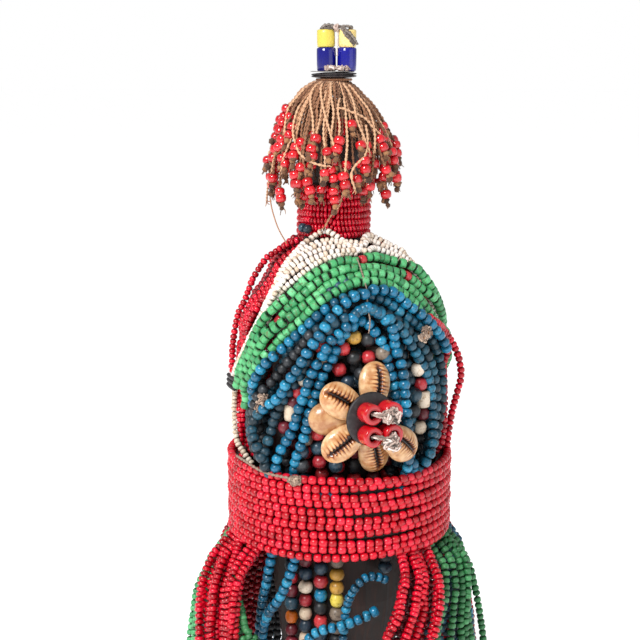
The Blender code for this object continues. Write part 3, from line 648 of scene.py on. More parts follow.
def soft_light(name, place, aim, size, power):
    """A square lamp at a place, turned to its aim: side in metres, power in watts."""
    light = bpy.data.lights.new(name, "AREA")
    light.size, light.energy = size, power
    item = bpy.data.objects.new(name, light)
    item.location = place
    item.rotation_euler = (Vector(aim) - Vector(place)).to_track_quat("-Z", "Y").to_euler()
    bpy.context.scene.collection.objects.link(item)


soft_light("key", (-0.42, -0.62, 0.78), (0, 0, 0.17), 0.30, 9.5)
soft_light("fill", (0.75, -0.55, 0.35), (0, 0, 0.16), 0.8, 1.6)

world = bpy.data.worlds.new("studio")
world.use_nodes = True
# The room reads white behind the doll, and gives it about half of that as light
seen = add(world, "ShaderNodeLightPath")
glow = add(world, "ShaderNodeMapRange", {"Value": seen.outputs["Is Camera Ray"], "To Min": 0.42})
feed(world, world.node_tree.nodes["Background"], {"Color": (1, 1, 1, 1), "Strength": glow.outputs[0]})
bpy.context.scene.world = world
bpy.context.scene.view_settings.view_transform = "Standard"


# The strands over the shoulders and chest: angle in degrees, height in millimetres

WHITE_LINES = (
    ((22, 199), (8, 199), (-5, 198), (-16, 196), (-25, 193), (-32, 190), (-37, 187), (-41, 183), (-45, 178),
     (-52, 172), (-60, 166), (-70, 160), (-79, 154), (-84, 145), (-82, 138), (-74, 132), (-68, 129)),
    ((28, 200), (12, 200), (-4, 199.6), (-19, 197.6), (-28, 195), (-33, 192.5), (-38, 188.5), (-42, 184),
     (-48, 177.4), (-56, 170), (-65, 163), (-74, 156)),
    ((30, 201), (13, 201), (-8, 200.6), (-22, 199), (-30, 196.8), (-34, 194), (-37, 190.5), (-42, 185),
     (-49, 177), (-57, 170), (-66, 162.5), (-73, 156)),
    ((32, 201.4), (22, 202), (1, 202), (-18, 201), (-29, 198.6), (-34, 195.8), (-37, 192), (-41, 187),
     (-47, 180), (-55, 172)),
    ((30, 199.6), (25, 200.2), (17, 201), (8, 202), (-7, 202.6), (-20, 202), (-30, 200.2), (-35, 197.6),
     (-37, 194), (-40, 189), (-45, 183)),
    ((17, 201), (10, 202.6), (2, 204), (-6, 205), (-14, 205.2), (-25, 204), (-33, 202), (-37, 199),
     (-38, 195.4), (-40, 191)),
    ((29, 199.4), (38, 200), (49, 199.6), (60, 197.6), (69, 194), (76, 188), (82, 181), (90, 172), (98, 160),
     (100, 145), (98, 130)),
    ((31, 201), (40, 202), (52, 202), (62, 200.4), (71, 197.4), (79, 192), (86, 184), (94, 173), (101, 160),
     (103, 145), (102, 130)),
    ((36, 202), (45, 203.4), (56, 203.4), (66, 201.6), (76, 198.4), (85, 193), (92, 185), (99, 175)),
)
GREEN_LINES = (
    ((-66, 158), (-60, 164), (-53, 170), (-48, 175), (-43, 180), (-36, 184), (-28, 188), (-20, 192),
     (-8, 195), (3, 197), (18, 197), (30, 198), (46, 197), (60, 195), (70, 192), (76, 188), (82, 184),
     (96, 177), (113, 168), (125, 156), (129, 143), (129, 131)),
    ((-64, 157), (-56, 164), (-49, 170), (-44, 175), (-37, 179), (-31, 183), (-25, 186), (-16, 190),
     (-10, 192), (-2, 194), (9, 195), (22, 195), (30, 195), (42, 194), (55, 192), (66, 188.5), (76, 183),
     (89, 176), (106, 167), (120, 155), (125, 142), (125, 131)),
    ((-57, 160), (-48, 168), (-38, 176), (-28, 181), (-17, 186), (-6, 190), (5, 192), (17, 193), (29, 193.5),
     (40, 192), (50, 189.5), (60, 185.5), (69, 180), (84, 173), (102, 164), (116, 153), (121, 141),
     (121, 131)),
    ((-62, 150), (-59, 155), (-52, 161), (-46, 166), (-41, 169), (-35, 174), (-28, 177), (-22, 180),
     (-17, 183), (-10, 186), (-3, 188), (5, 190), (14, 191.5), (23, 191.5), (33, 190.4), (42, 188),
     (50, 185), (57, 181.6), (64, 177), (76, 171), (94, 163), (111, 152), (117, 141), (117, 131)),
)
BLUE_LINES = {
    "B": ((-43, 130), (-52, 135), (-55.5, 141), (-57, 148), (-54, 152), (-50, 157), (-45.5, 161),
          (-39.5, 166), (-32, 171), (-23, 176), (-15, 180), (-6, 184), (3, 187), (14, 188), (21, 187),
          (33, 185), (44, 180), (57, 175), (70, 168), (78, 160), (78, 152), (71, 144), (62, 137), (52, 130)),
    "C": ((-39, 130), (-45, 138), (-49, 145), (-50, 150), (-43, 157), (-34, 164), (-26, 169), (-19, 173),
          (-13, 177), (-3, 181), (7, 183), (13, 184), (20, 184), (34, 180), (44, 175), (54, 169), (62, 161),
          (64, 150), (59, 141), (47, 130)),
    "K": ((-37, 130), (-40, 139), (-37, 149), (-32, 155), (-27, 159), (-23, 163), (-18, 168), (-14, 173),
          (-7, 177), (0, 181), (7, 182), (13, 184), (22, 183), (33, 178), (42, 171), (51, 164), (58, 156),
          (58, 148), (52, 139), (44, 130)),
    "D": ((-35, 130), (-32, 139), (-28, 144), (-24, 150), (-20, 156), (-16, 163), (-11, 169), (-4, 175),
          (3, 178), (7, 181), (13, 184), (19, 184), (27, 179), (31, 173), (32, 166), (32, 160), (32, 154),
          (34, 146), (36, 130)),
    "E": ((-29, 130), (-24, 138), (-20, 144), (-16, 151), (-14, 156), (-10, 163), (-5, 169), (1, 175),
          (5, 177), (11, 180), (17, 179), (23, 174), (26, 168), (29, 162), (31, 154), (34, 147), (38, 141),
          (41, 130)),
    "A": ((-38, 130), (-41, 139), (-48, 146), (-41, 152), (-31, 157), (-27, 161), (-20, 167), (-14, 173),
          (-7, 179), (0, 184), (9, 188), (15, 188.5), (22, 189.5), (34, 188), (43, 184), (54, 179),
          (63, 174), (73, 167)),
}
RED_LEFT_LINES = (
    ((-41, 200), (-46, 197), (-50, 192), (-54, 187), (-59, 182), (-65, 176), (-71, 169), (-76, 162),
     (-80, 153), (-83, 143), (-84, 130)),
    ((-46, 200), (-52, 196), (-57, 191), (-62, 186), (-67, 180), (-72, 173), (-78, 166), (-83, 157),
     (-86, 146), (-88, 130)),
    ((-44, 198.5), (-50, 194), (-55, 188.5), (-60, 183), (-66, 177), (-73, 169), (-80, 160), (-86, 148),
     (-90, 130)),
    ((-52, 199), (-60, 195), (-67, 189), (-73, 182), (-79, 174), (-85, 165), (-90, 155), (-93, 143),
     (-94, 130)),
)
RED_LOOSE_LINE = (
    (-56, 202), (-68, 200.5), (-76, 198.4), (-79, 195), (-81, 190), (-82, 184), (-83, 177), (-83, 170),
    (-84, 162), (-84, 150), (-83, 140), (-80, 130),
)
RED_RIGHT_LINES = (
    ((58, 179), (68, 176), (79, 173), (85, 169), (87, 163), (87, 156), (87, 149), (87, 141), (86, 130)),
    ((62, 176), (72, 172), (80, 166), (83, 160), (84, 152), (83, 145), (80, 138), (78, 130)),
)
# A dull one along the arch, and darker strands under the blue ones
ARCH_LINE = (
    (-14, 186), (-4, 189), (6, 191), (20, 191.5), (34, 190), (46, 186.5), (58, 181), (70, 174), (79, 166),
)
UNDER_LINES = (
    ((-50, 130), (-52, 145), (-46, 158), (-36, 167), (-24, 174), (-10, 181)),
    ((-60, 130), (-65, 144), (-60, 157), (-48, 167)),
    ((-71, 130), (-76, 146), (-71, 160), (-60, 169)),
    ((-34, 130), (-36, 142), (-32, 153), (-25, 162)),
    ((44, 130), (49, 146), (48, 160), (40, 171), (28, 180)),
    ((54, 130), (60, 148), (57, 162), (46, 174), (30, 184)),
    ((64, 130), (71, 148), (68, 164), (56, 176), (40, 186)),
    ((76, 130), (81, 150), (78, 166), (66, 178), (50, 188)),
    ((38, 130), (42, 146), (42, 158), (37, 168)),
)


def lines_mm(points):
    return [(angle, height * MM) for angle, height in points]


MIXED_FINISHES = [
    "slate navy glass", "brick red glass", "maroon glass", "cream glass", "orange glass", "amber glass",
    "straw yellow glass", "grey brown glass", "sky blue glass", "charcoal glass", "thread",
]
LETTERS = dict(zip("nrmwoaygbc", MIXED_FINISHES))
# Large beads against the torso: top and foot in bead widths round it, then as shares of the height, and
# colours from the top down
INNER_STRANDS = (
    (-3.15, -3.3, 0.44, 0.30, "mwmwnmrnmcrnrmnrmnom"), (-2.1, -2.25, 0.54, 0.30, "wrmwncwrmnbcrwnmnwrwnwrn"),
    (-1.1, -1.25, 0.64, 0.30, "nrwnmcrnrnrmnrcnrnrbcrnmn"),
    (-0.1, -0.25, 0.68, 0.30, "nrcrnmwncnrmncrnmgaayggcc"), (0.9, 0.8, 0.68, None, "nancncmrnmcrnmrc"),
    (2.1, 2.05, 0.68, None, "nrgcmncrnwnmrcnm"), (3.15, 3.0, 0.62, 0.90, "ngmcnwrncmrnmwrwc"),
    (4.5, 4.6, 0.56, None, "nwrwmwcnrmcnwrm"),
)


def make_inner_strands():
    """Strands of large beads that hang against the torso."""
    lying = TORSO_RADIUS + GAP + INNER_BEAD / 2
    width = math.degrees((INNER_BEAD + 2 * GAP) / lying)
    for number, (top_place, foot_place, top_share, foot_share, colours) in enumerate(INNER_STRANDS, 1):
        piece = Piece(f"inner_strand_{number}_beads", MIXED_FINISHES)
        top = BELT_TOP + MANTLE_HEIGHT * top_share
        foot = BELT_BOTTOM + BELT_HEIGHT / 4 if foot_share is None else HEM_HEIGHT + SKIRT_LENGTH * foot_share
        height = np.arange(top - LARGE.pitch / 2, foot, -LARGE.pitch)
        height = height + CHANCE.normal(0, 0.1 * MM, len(height))
        place = foot_place + (top_place - foot_place) * (height - foot) / (top - foot)
        names = [LETTERS[colours[k % len(colours)]] for k in range(len(height))]
        lay(piece, spots(place * width, height, torso(height) + GAP + LARGE.width / 2), LARGE, names)
        piece.make(f"inner_strand_{number}", slot="mixed_beads")


# Colours of the blue strands by angle and height: the same string passes from bright to dull and dark beads
BLUE_FINISHES = {
    "B": lambda a, h: ("charcoal glass" if a < 0 and h < 149 else "sky blue glass" if a < 0 else
                       "mottled blue glass" if h > 174.5 else "worn teal glass"),
    "C": lambda a, h: "charcoal glass" if a < -12 else "worn teal glass",
    "K": lambda a, h: "worn teal glass" if a < -2 else "mottled blue glass",
    "D": lambda a, h: "sky blue glass",
    "E": lambda a, h: "sky blue glass",
    "A": lambda a, h: "worn teal glass" if a < -37 and h < 151 else "sky blue glass",
}


def white_finish(angle, height):
    """The white strands' lowest stretch at the left is creamier."""
    return "cream glass" if angle < 0 and height < 156.5 else "chalk white glass"


def green_finish(angle, height):
    """Three red beads are strung among the green ones."""
    away = min(abs(angle - x) + abs(height - y) for x, y in ((24, 198), (-36, 180), (57, 192)))
    return "brick red glass" if away < 2.6 else "apple green glass"


def make_mantle():
    """The white, green and blue strands over the shoulders and the chest."""
    white = Piece("white_strand_beads", ["chalk white glass", "cream glass", "thread"])
    for line in WHITE_LINES:
        strand(white, lines_mm(line), WHITE, white_finish, mantle, 0.15, 0.9)
    white.make("white_strands", slot="white_beads")
    green = Piece("green_strand_beads", ["apple green glass", "brick red glass", "thread"])
    for line in GREEN_LINES:
        strand(green, lines_mm(line), GREEN, green_finish, mantle, 0.15, 0.9)
    green.make("green_strands", slot="green_beads")
    finishes = ["sky blue glass", "mottled blue glass", "worn teal glass", "charcoal glass", "thread"]
    outer = Piece("blue_outer_strand_beads", finishes)
    for number, line in enumerate(UNDER_LINES):
        finish = ("worn teal glass", "charcoal glass")[number % 2]
        strand(outer, lines_mm(line), BLUE, finish, mantle, 1.2, 0.0)
    strand(outer, lines_mm(ARCH_LINE), BLUE, "worn teal glass", mantle, 0.55, 0.4)
    for key in "BCK":
        strand(outer, lines_mm(BLUE_LINES[key]), BLUE, BLUE_FINISHES[key], mantle, 0.1, 1.0, 0.15)
    outer.make("blue_strands_outer", slot="blue_beads")
    inner = Piece("blue_inner_strand_beads", finishes)
    for key in "ED":
        strand(inner, lines_mm(BLUE_LINES[key]), BLUE, BLUE_FINISHES[key], mantle, 0.1, 0.9, 0.15)
    inner.make("blue_strands_inner", slot="blue_beads")
    over = Piece("crossing_strand_beads", finishes)
    strand(over, lines_mm(BLUE_LINES["A"]), BLUE, BLUE_FINISHES["A"], mantle, 0.0, 1.2, 0.1)
    over.make("crossing_strand", slot="blue_beads")


# How far the red strands lie inside the mantle at the left, and the loose strands from the axis, by height
LEFT_SLOPE = (
    (130, 3.0), (150, 3.3), (158, 1.7), (167, 0.9), (170.5, 2.0), (174, 0.8), (178, 0.9), (182, 2.0),
    (186, 4.6), (190, 5.3), (193.7, 4.6), (197, 4.0), (200, 3.1), (203, 1.5),
)
LOOSE_LEFT = (
    (130, 33.6), (148, 34.2), (155, 35.6), (160, 36.4), (166, 36.1), (169, 35.6), (174, 34.5), (178, 33.2),
    (181, 31.5), (185, 29.7), (189, 28.0), (193, 25.4), (196, 23.0), (198, 19.8), (200.5, 16.7), (202, 14.0),
)
LOOSE_RIGHT = (
    (130, 36.5), (141, 37.8), (145, 38.5), (150, 39.7), (154.5, 40.9), (158, 41.1), (162.5, 40.2),
    (166, 38.9), (170, 36.9), (173, 35.4), (179, 34.8),
)


def left_shoulder(height):
    """The red strands' skin at the left, where the shoulder slopes more."""
    return mantle(height) - outline(LEFT_SLOPE, height / MM) * MM


def loose_left(height):
    """The strand that stands off the left side."""
    return outline(LOOSE_LEFT, height / MM) * MM


def loose_right(height):
    """The strand that bulges out at the right."""
    return outline(LOOSE_RIGHT, height / MM) * MM


def back_skin(height):
    """The back strands lie lower over the shoulders, so that they don't show over the front ones."""
    return mantle(height) - np.interp(height / MM, (160, 178, 203), (0, 2.6, 2.6)) * MM


def back_left_skin(height):
    """Nearer the left they lie as low as those beside them, and leave the gap under the loose strand open."""
    return np.minimum(back_skin(height), left_shoulder(height) - 0.3 * MM)


def over_shoulder(angle, *start):
    """A line that comes over the shoulder and falls straight down to the belt."""
    return lines_mm((*start, (angle, 170), (angle, 150), (angle, 130)))


def make_reds():
    """The red strands at the sides and the back, and the loop at the right."""
    finishes = ["deep red glass", "thread"]
    left = Piece("red_left_strand_beads", ["red seed glass", *finishes])
    for line in RED_LEFT_LINES:
        strand(left, lines_mm(line), BACK_RED, "red seed glass", left_shoulder, 0.0, 0.15)
    for k in range(5):
        angle = -92 - 4.4 * k
        line = over_shoulder(angle, (angle + 12, 199), (angle + 5, 194), (angle + 1, 186))
        strand(left, line, BACK_RED, "deep red glass", left_shoulder, 0.6, 0.0)
    strand(left, lines_mm(RED_LOOSE_LINE), LOOSE_RED, "red seed glass", loose_left, 0.0, 0.0, 0.1)
    left.make("red_strands_left", slot="red_beads")
    back = Piece("red_back_strand_beads", finishes)
    for bead, depth, count in ((HIDDEN, 0.95, 20), (BACK_RED, 0.0, 34)):
        for k in range(count):
            angle = 107 + 146 * (k + 0.5) / count + CHANCE.normal(0, 0.7)
            line = over_shoulder(angle, (180 + (angle - 180) * 0.97, 201), (angle, 196), (angle, 186))
            # The green strands' ends lie over the first of them
            under = float(np.interp(angle, (128, 134), (0.75, 0)))
            skin = back_left_skin if angle > 222 else back_skin
            strand(back, line, bead, "deep red glass", skin, 0.1 + max(depth, under),
                   0.4 if under or angle > 222 else 0.6)
    back.make("red_strands_back", slot="red_beads")
    right = Piece("red_right_strand_beads", finishes)
    for k in range(4):
        angle = 94 + 4.2 * k
        line = over_shoulder(angle, (angle - 12 + 3 * k, 200), (angle - 3, 195), (angle, 186))
        strand(right, line, BACK_RED, "deep red glass", back_skin, 0.4, 0.6)
    strand(right, lines_mm(RED_RIGHT_LINES[1]), BACK_RED, "deep red glass", mantle, 0.1, 1.0)
    right.make("red_strands_right", slot="red_beads")
    loop = Piece("red_side_loop_beads", ["red seed glass", "thread"])
    strand(loop, lines_mm(RED_RIGHT_LINES[0]), BACK_RED, "red seed glass", loose_right, 0.0, 0.0, 0.1)
    loop.make("red_side_loop", slot="red_beads")


BELT_ROWS = 11
NECK_ROWS = 8
# Blue beads of the strand that shows under the belt: angles and heights
UNDER_BELT = (np.array((-11.0, -6, 16, 20, 33)), np.array((126.8, 126.7, 125.6, 125.7, 126.6)) * MM)


def make_belt():
    """Rows of red beads wound round a core, uneven in height, with a dark gap here and there."""
    piece = Piece("belt_beads", ["rubbed red glass", "thread", "sky blue glass"])
    # The cord core that the rows are wound on shows between them, kept dark as painted shade in the gaps
    core = BELT_RADIUS - BELT_THICKNESS - 0.6 * MM
    round_it = np.linspace(0, 360, 49)
    for height in np.linspace(BELT_BOTTOM + 2.4 * MM, BELT_TOP - 4.2 * MM, 8):
        piece.tube(spots(round_it, height, core), 1.7 * MM, "thread", sides=5, grain=0.2)
    lay(piece, spots(*UNDER_BELT, BELT_RADIUS - 2.6 * MM), BELT_RED, "sky blue glass", thread=None)
    pitch = BELT_HEIGHT / BELT_ROWS
    for row in range(BELT_ROWS):
        turn = np.linspace(0, math.tau, 200)
        # The rows part more at the right, where dark gaps show between them
        part = 0.17 + 0.5 * np.exp(-(((np.degrees(turn) - 28) / 26) ** 2))
        wave = part * np.sin(turn * 2 + row * 2.2) + 0.15 * np.sin(turn * 5 + row * 2.1)
        height = BELT_BOTTOM + pitch * (row + 0.5) + wave * MM
        radius = BELT_RADIUS - BELT_RED.width / 2 + 0.16 * MM * np.sin(turn * 3 + row * 2.4)
        count = int(math.tau * (BELT_RADIUS - BELT_RED.width / 2) / BELT_RED.pitch)
        marks = np.linspace(0, math.tau, count, endpoint=False) + CHANCE.uniform(0, 0.1)
        marks = marks + CHANCE.normal(0, 0.0022, count)
        level, reach = (np.interp(marks, turn, values, period=math.tau) for values in (height, radius))
        middles = spots(np.degrees(marks), level, reach)
        ring_of_beads(piece, middles, BELT_RED, "rubbed red glass", 0.3 * MM, 0.03)
        piece.tube(np.concatenate([middles, middles[:1]]), 0.2 * MM, "thread", sides=4)
    piece.make("belt", slot="red_beads")


def make_neck():
    """Small red beads wound round the neck in one climbing line."""
    piece = Piece("neck_wrap_beads", ["red seed glass", "thread"])
    bottom = NECK_LEVEL + GAP
    pitch = (NECK_WRAP_TOP - bottom) / NECK_ROWS
    radius = NECK_WRAP_RADIUS - NECK_RED.width / 2
    count = int(math.tau * radius / NECK_RED.pitch)
    for row in range(NECK_ROWS):
        marks = np.linspace(0, math.tau, count, endpoint=False) + CHANCE.uniform(0, 0.1)
        level = bottom + pitch * (row + 0.5) + 0.12 * MM * np.sin(marks * 2 + row)
        level = level + pitch * (marks / math.tau - 0.5) * 0.3
        middles = spots(np.degrees(marks), level, radius + 0.08 * MM * np.sin(3 * marks + row))
        ring_of_beads(piece, middles, NECK_RED, "red seed glass", 0.15 * MM)
    piece.make("neck_wrap", slot="red_beads")


# How far the skirt's strands reach up behind the belt
UNDER_THE_BELT = 3 * MM
# Skirt panels: bead, finish, finish behind (darker, painted shade), strands, angles of both edges at the belt
# and low down, how far they are tucked in at the belt and low down in millimetres, slot
SKIRT_PANELS = {
    "skirt_red_left": (SKIRT_RED, "red seed glass", "maroon glass", 9, -87, -45, -58, -37.5, 0, 0,
                       "red_beads"),
    "skirt_red_right": (SKIRT_RED, "red seed glass", "maroon glass", 7, 32, 59, -11, 24, 0, 0, "red_beads"),
    "skirt_green_right": (SKIRT_GREEN, "leaf green glass", "worn teal glass", 6, 61, 88, 32, 91, 0, 3.9,
                          "green_beads"),
    "skirt_teal_right": (SKIRT_BLUE, "mottled blue glass", "", 4, 89, 106, 92, 110, 1.6, 5.4, "teal_beads"),
    "skirt_red_back_right": (SKIRT_RED, "deep red glass", "deep red glass", 11, 108, 150, 109, 150, 0, 0,
                             "red_beads"),
    "skirt_green_back": (SKIRT_GREEN, "leaf green glass", "charcoal glass", 8, 152, 184, 152, 184, 0, 0,
                         "green_beads"),
    "skirt_blue_back": (SKIRT_BLUE, "sky blue glass", "charcoal glass", 7, 186, 216, 186, 216, 0, 0,
                        "blue_beads"),
    "skirt_red_back_left": (SKIRT_RED, "deep red glass", "deep red glass", 8, 218, 249, 218, 249, 0, 0,
                            "red_beads"),
    "skirt_green_left": (SKIRT_GREEN, "apple green glass", "charcoal glass", 5, 252, 266, 255, 290, 4.0, 0,
                         "green_beads"),
    "skirt_green_front": (SKIRT_GREEN, "leaf green glass", "", 4, -78, -70, -38, -20, 5.1, 5.1,
                          "green_beads"),
}


def skirt_strand(piece, edges, share, shape, finish, tucks, sink, loose, slant=0.6):
    """One hanging strand at a share of the way across its panel, free to swing by a loose share. It slants as
    far down as the slant share, and then hangs straight."""
    top_first, top_last, low_first, low_last = edges
    swing = CHANCE.normal(0, 1.3) * loose
    line = []
    for part in (0.0, 0.06, 0.16, 0.28, 0.42, 0.58, 0.72, 0.86, 1.0):
        fall = min(part / slant, 1.0)
        first = top_first + (low_first - top_first) * fall
        last = top_last + (low_last - top_last) * fall
        drift = CHANCE.normal(0, 0.6) * part * loose + swing * math.sin(part * 3)
        height = BELT_BOTTOM + UNDER_THE_BELT - (SKIRT_LENGTH + UNDER_THE_BELT) * part
        line.append((first + (last - first) * share + drift, height))

    def skin(height):
        return skirt(height) - np.interp(height, (0.078, 0.097), tucks[::-1]) * MM

    strand(piece, line, shape, finish, skin, sink, loose, 0.25)


def make_skirt():
    """The hanging panels of the skirt, each strand swinging a little by itself."""
    for name, (bead, finish, dark, count, *edges, tuck_top, tuck_low, slot) in SKIRT_PANELS.items():
        behind = [] if dark in ("", finish) else [dark]
        piece = Piece(f"{name}_beads", [finish, *behind, "thread"])
        front = dark == "maroon glass"
        slant = 0.5 if name == "skirt_green_front" else 0.6
        if dark:
            # A plain strand hangs behind each gap between two front ones, at the back on both edges too. Its
            # darker finish is painted shade between the front strands
            for k in range(2, count - 2) if front else range(count + 1):
                share = (k + CHANCE.uniform(-0.12, 0.12)) / count
                skirt_strand(piece, edges, share, HIDDEN, dark, (tuck_top, tuck_low), 1.0, 0.0)
        if name in ("skirt_blue_back", "skirt_red_back_left"):
            # A second layer, so that no light comes through beside the column in front
            for k in range(count):
                skirt_strand(piece, edges, (k + 0.5) / count, HIDDEN, dark, (tuck_top, tuck_low), 2.1, 0.0)
        for k in CHANCE.permutation(count):
            share = (k + 0.5 + CHANCE.uniform(-0.3, 0.3)) / count
            if front:
                # The front ones hang in three bunches
                share = (k + 0.5 + CHANCE.uniform(-0.12, 0.12)) / count
                share += 0.05 * math.sin(math.tau * 3 * share)
            stands_off = name == "skirt_green_right" and k == count - 1
            skirt_strand(piece, edges, 0.98 if stands_off else share, bead, finish,
                         (tuck_top, 0 if stands_off else tuck_low), CHANCE.uniform(0, 0.35), 1.0, slant)
        piece.make(name, slot=slot)


HAIR_DRAWN_IN = ((230, 0.01), (234.6, 0.04), (239.3, 0.085), (243.9, 0.145), (248.6, 0.22), (251.5, 0.25))


def hair(height, angle):
    """The tassel's outline, drawn in near its top and most on its right side."""
    drawn = outline(HAIR_DRAWN_IN, height / MM)
    free = HAIR_RADIUS * outline(HAIR_OUTLINE, (HAIR_TOP - height) / (HAIR_RISE + HAIR_HANG))
    return free * (1 - drawn * (1 + 0.5 * np.sin(np.radians(angle))))


def cord(piece, path, finish, radius=0.5 * MM, lay_length=3.0 * MM, grain=0.5):
    """A twisted two-ply cord along a path of a few points, with seven rings to each turn."""
    path = np.asarray(path)
    run = lengths_along(path)
    count = max(int(run[-1] / lay_length * 7), 6)
    even = points_at(np.linspace(0, run[-1], count), run, path)
    piece.tube(even, radius, finish, sides=6, grain=grain, flat=0.55, twist=1 / lay_length)
    return even


def lump_shape():
    """A small uneven lump."""
    shape = bmesh.new()
    bmesh.ops.create_icosphere(shape, subdivisions=1, radius=1.0)
    for vertex in shape.verts:
        vertex.co *= 1 + CHANCE.normal(0, 0.16)
    return stored(shape)


LUMP = lump_shape()


def lumps(piece, middles, size, finish):
    """Small hard knots of cord."""
    middles = np.atleast_2d(middles)
    turned = np.linalg.qr(CHANCE.normal(0, 1, (len(middles), 3, 3)))[0]
    turned = turned * np.sign(np.linalg.det(turned))[:, None, None]
    scale = size * CHANCE.uniform(0.75, 1.2, (len(middles), 1, 3))
    piece.stamp(LUMP, middles, turned * scale, CHANCE.random(len(middles)), finish)


def snarl(piece, middle, reach, finish, loops=7, radius=0.28 * MM, flat=(1, 1, 1)):
    """A tangled knot of thread: short loops of it through random points."""
    for _ in range(loops):
        corners = CHANCE.normal(0, 1, (6, 3))
        corners = unit(corners) * CHANCE.uniform(0.55, 1.0, (6, 1)) * reach * np.asarray(flat)
        path = np.asarray(middle) + smooth_line(corners, 26)
        piece.tube(path, radius, finish, sides=5, grain=CHANCE.random())


def frayed_end(piece, place, way, length, finish, count):
    """Loose fibres at a cord's end."""
    for _ in range(count):
        tip = unit(way + CHANCE.normal(0, 0.3, 3))
        path = place + smooth_line([0 * way, tip * 0.5 + CHANCE.normal(0, 0.1, 3), tip], 5) * length
        piece.tube(path, np.linspace(0.24, 0.08, 5) * MM, finish, sides=4, grain=CHANCE.random())


def loose_cord(piece, path, radius, grain, fray):
    """A cord of tan twine whose lower end is frayed out."""
    end = cord(piece, path, "tan twine", radius, grain=grain)
    frayed_end(piece, end[-1], unit(end[-1] - end[-4]), fray, "tan twine", 3)


# The tassel's beaded cords in front: angle and height of the lowest bead, beads on it, share of the way out
FRONT_CORDS = (
    (-72, 240, 2, 1.0), (-75, 234, 2, 1.0), (-46, 235, 2, 1.0), (-55, 232, 1, 1.0), (-14, 234, 1, 1.0),
    (3, 231, 2, 1.0), (-5, 230, 1, 0.98), (18, 238, 1, 1.0), (20, 232, 1, 1.0), (9, 236, 2, 0.84),
    (47, 231, 2, 1.0), (36, 229, 2, 0.95), (57, 227, 2, 1.0), (29, 225, 2, 1.0), (23, 226, 1, 0.92),
    (-23, 231, 1, 1.0), (-16, 229, 1, 1.0), (-40, 229, 2, 1.0), (-34, 230, 2, 0.95), (-65, 228, 2, 1.0),
    (-78, 227, 1, 1.0), (-9, 224, 1, 1.0), (-2, 222, 2, 0.95), (6, 220, 2, 1.0), (-21, 219, 2, 1.0),
    (-5, 216, 2, 0.98), (-29, 225, 1, 0.97), (-22, 226, 1, 0.93), (-38, 220, 2, 1.0), (-54, 218, 1, 1.0),
    (-46, 216, 1, 1.0), (47, 224, 1, 1.0), (63, 222, 1, 1.0), (20, 222, 1, 0.92), (11, 226, 1, 0.88),
    (-61, 222, 1, 1.0), (-25, 235, 1, 0.86), (-50, 225, 2, 0.9), (-70, 219, 2, 0.95), (78, 229, 2, 1.0),
    (72, 222, 1, 0.95), (38, 220, 1, 0.9), (54, 217, 1, 0.9), (-66, 236, 2, 0.97), (-60, 231, 2, 1.0),
    (-81, 239, 1, 1.0), (-52, 228, 1, 1.0), (-45, 226, 2, 0.95), (-68, 232, 1, 0.9), (-33, 221, 1, 1.0),
    (-27, 217, 1, 0.95), (2, 227, 1, 0.9), (-12, 219, 1, 0.85), (28, 218, 1, 0.85), (-32, 216, 1, 0.85),
    (-60, 236, 1, 0.95), (66, 233, 2, 0.95), (60, 227, 2, 0.9), (71, 237, 1, 0.95), (52, 222, 2, 0.92),
    (42, 226, 1, 0.85), (-76, 228, 2, 0.92), (-57, 240, 1, 0.97), (70, 226, 1, 0.9), (-70, 224, 2, 0.88),
)
# Its loose cords in front, without beads
LOOSE_CORDS = (
    ((-38, 250.2), (-36, 247), (-25, 242), (-20, 237), (-18, 234)),
    ((-27, 250.4), (-20, 247), (-11, 242), (-3, 235), (0, 231)),
    ((-8, 250.8), (-5, 247), (-1, 242), (-3, 236)),
    ((-44, 244), (-43, 238), (-34, 232), (-27, 229), (-17, 227), (-6, 226)),
    ((2, 243), (10, 243), (19, 242), (35, 240), (42, 237), (51, 234)),
    ((8, 246), (4, 243), (5, 238), (3, 233)),
    ((14, 246), (12, 239), (11, 233), (9, 228), (8, 223)),
    ((33, 238), (30, 233), (25, 229), (16, 226), (13, 223), (16, 219)),
    ((24, 250.4), (28, 246), (24, 241), (27, 235), (30, 230)),
    ((38, 250), (44, 246), (46, 241), (40, 235), (36, 231)),
    ((-58, 249), (-62, 244), (-56, 239), (-50, 235)),
)


NECK_CORD = ((12, 217), (9, 214.5), (4, 212), (-5, 210), (-13, 206.5))
STRAY_CORD = ((-60, 229), (-64, 222), (-76, 216), (-84, 213.5))
# Angle, height and distance from the axis
STRAY_THREAD = ((-59, 215.4, 23.2), (-58, 211.4, 22.6), (-55.5, 206, 21.1), (-51, 201.2, 19))


def hair_path(start, end, foot, share, sway=5.0):
    """A cord's way from the gather under the discs, over the shoulder of the tassel and down."""
    steps = 14
    part = np.linspace(0, 1, steps)
    # Close steps where the cord turns down, longer ones where it hangs
    height = (HAIR_TOP - 0.5 * MM) - (HAIR_TOP - foot) * part**1.7
    layer = 1 - (1 - share) * np.minimum(part * 2, 1)
    wave = sway * np.sin(part * CHANCE.uniform(3, 6) + CHANCE.uniform(0, math.tau)) * part
    wave = wave + 0.35 * sway * np.sin(part * CHANCE.uniform(9, 14) + CHANCE.uniform(0, math.tau)) * part
    angle = start + (end - start) * part + wave
    radius = (hair(height, angle) - 0.6 * MM) * layer
    radius[0] *= 0.7
    radius = radius + CHANCE.normal(0, 0.3 * MM, steps) * part
    return smooth_line(spots(angle, height, radius), 60)


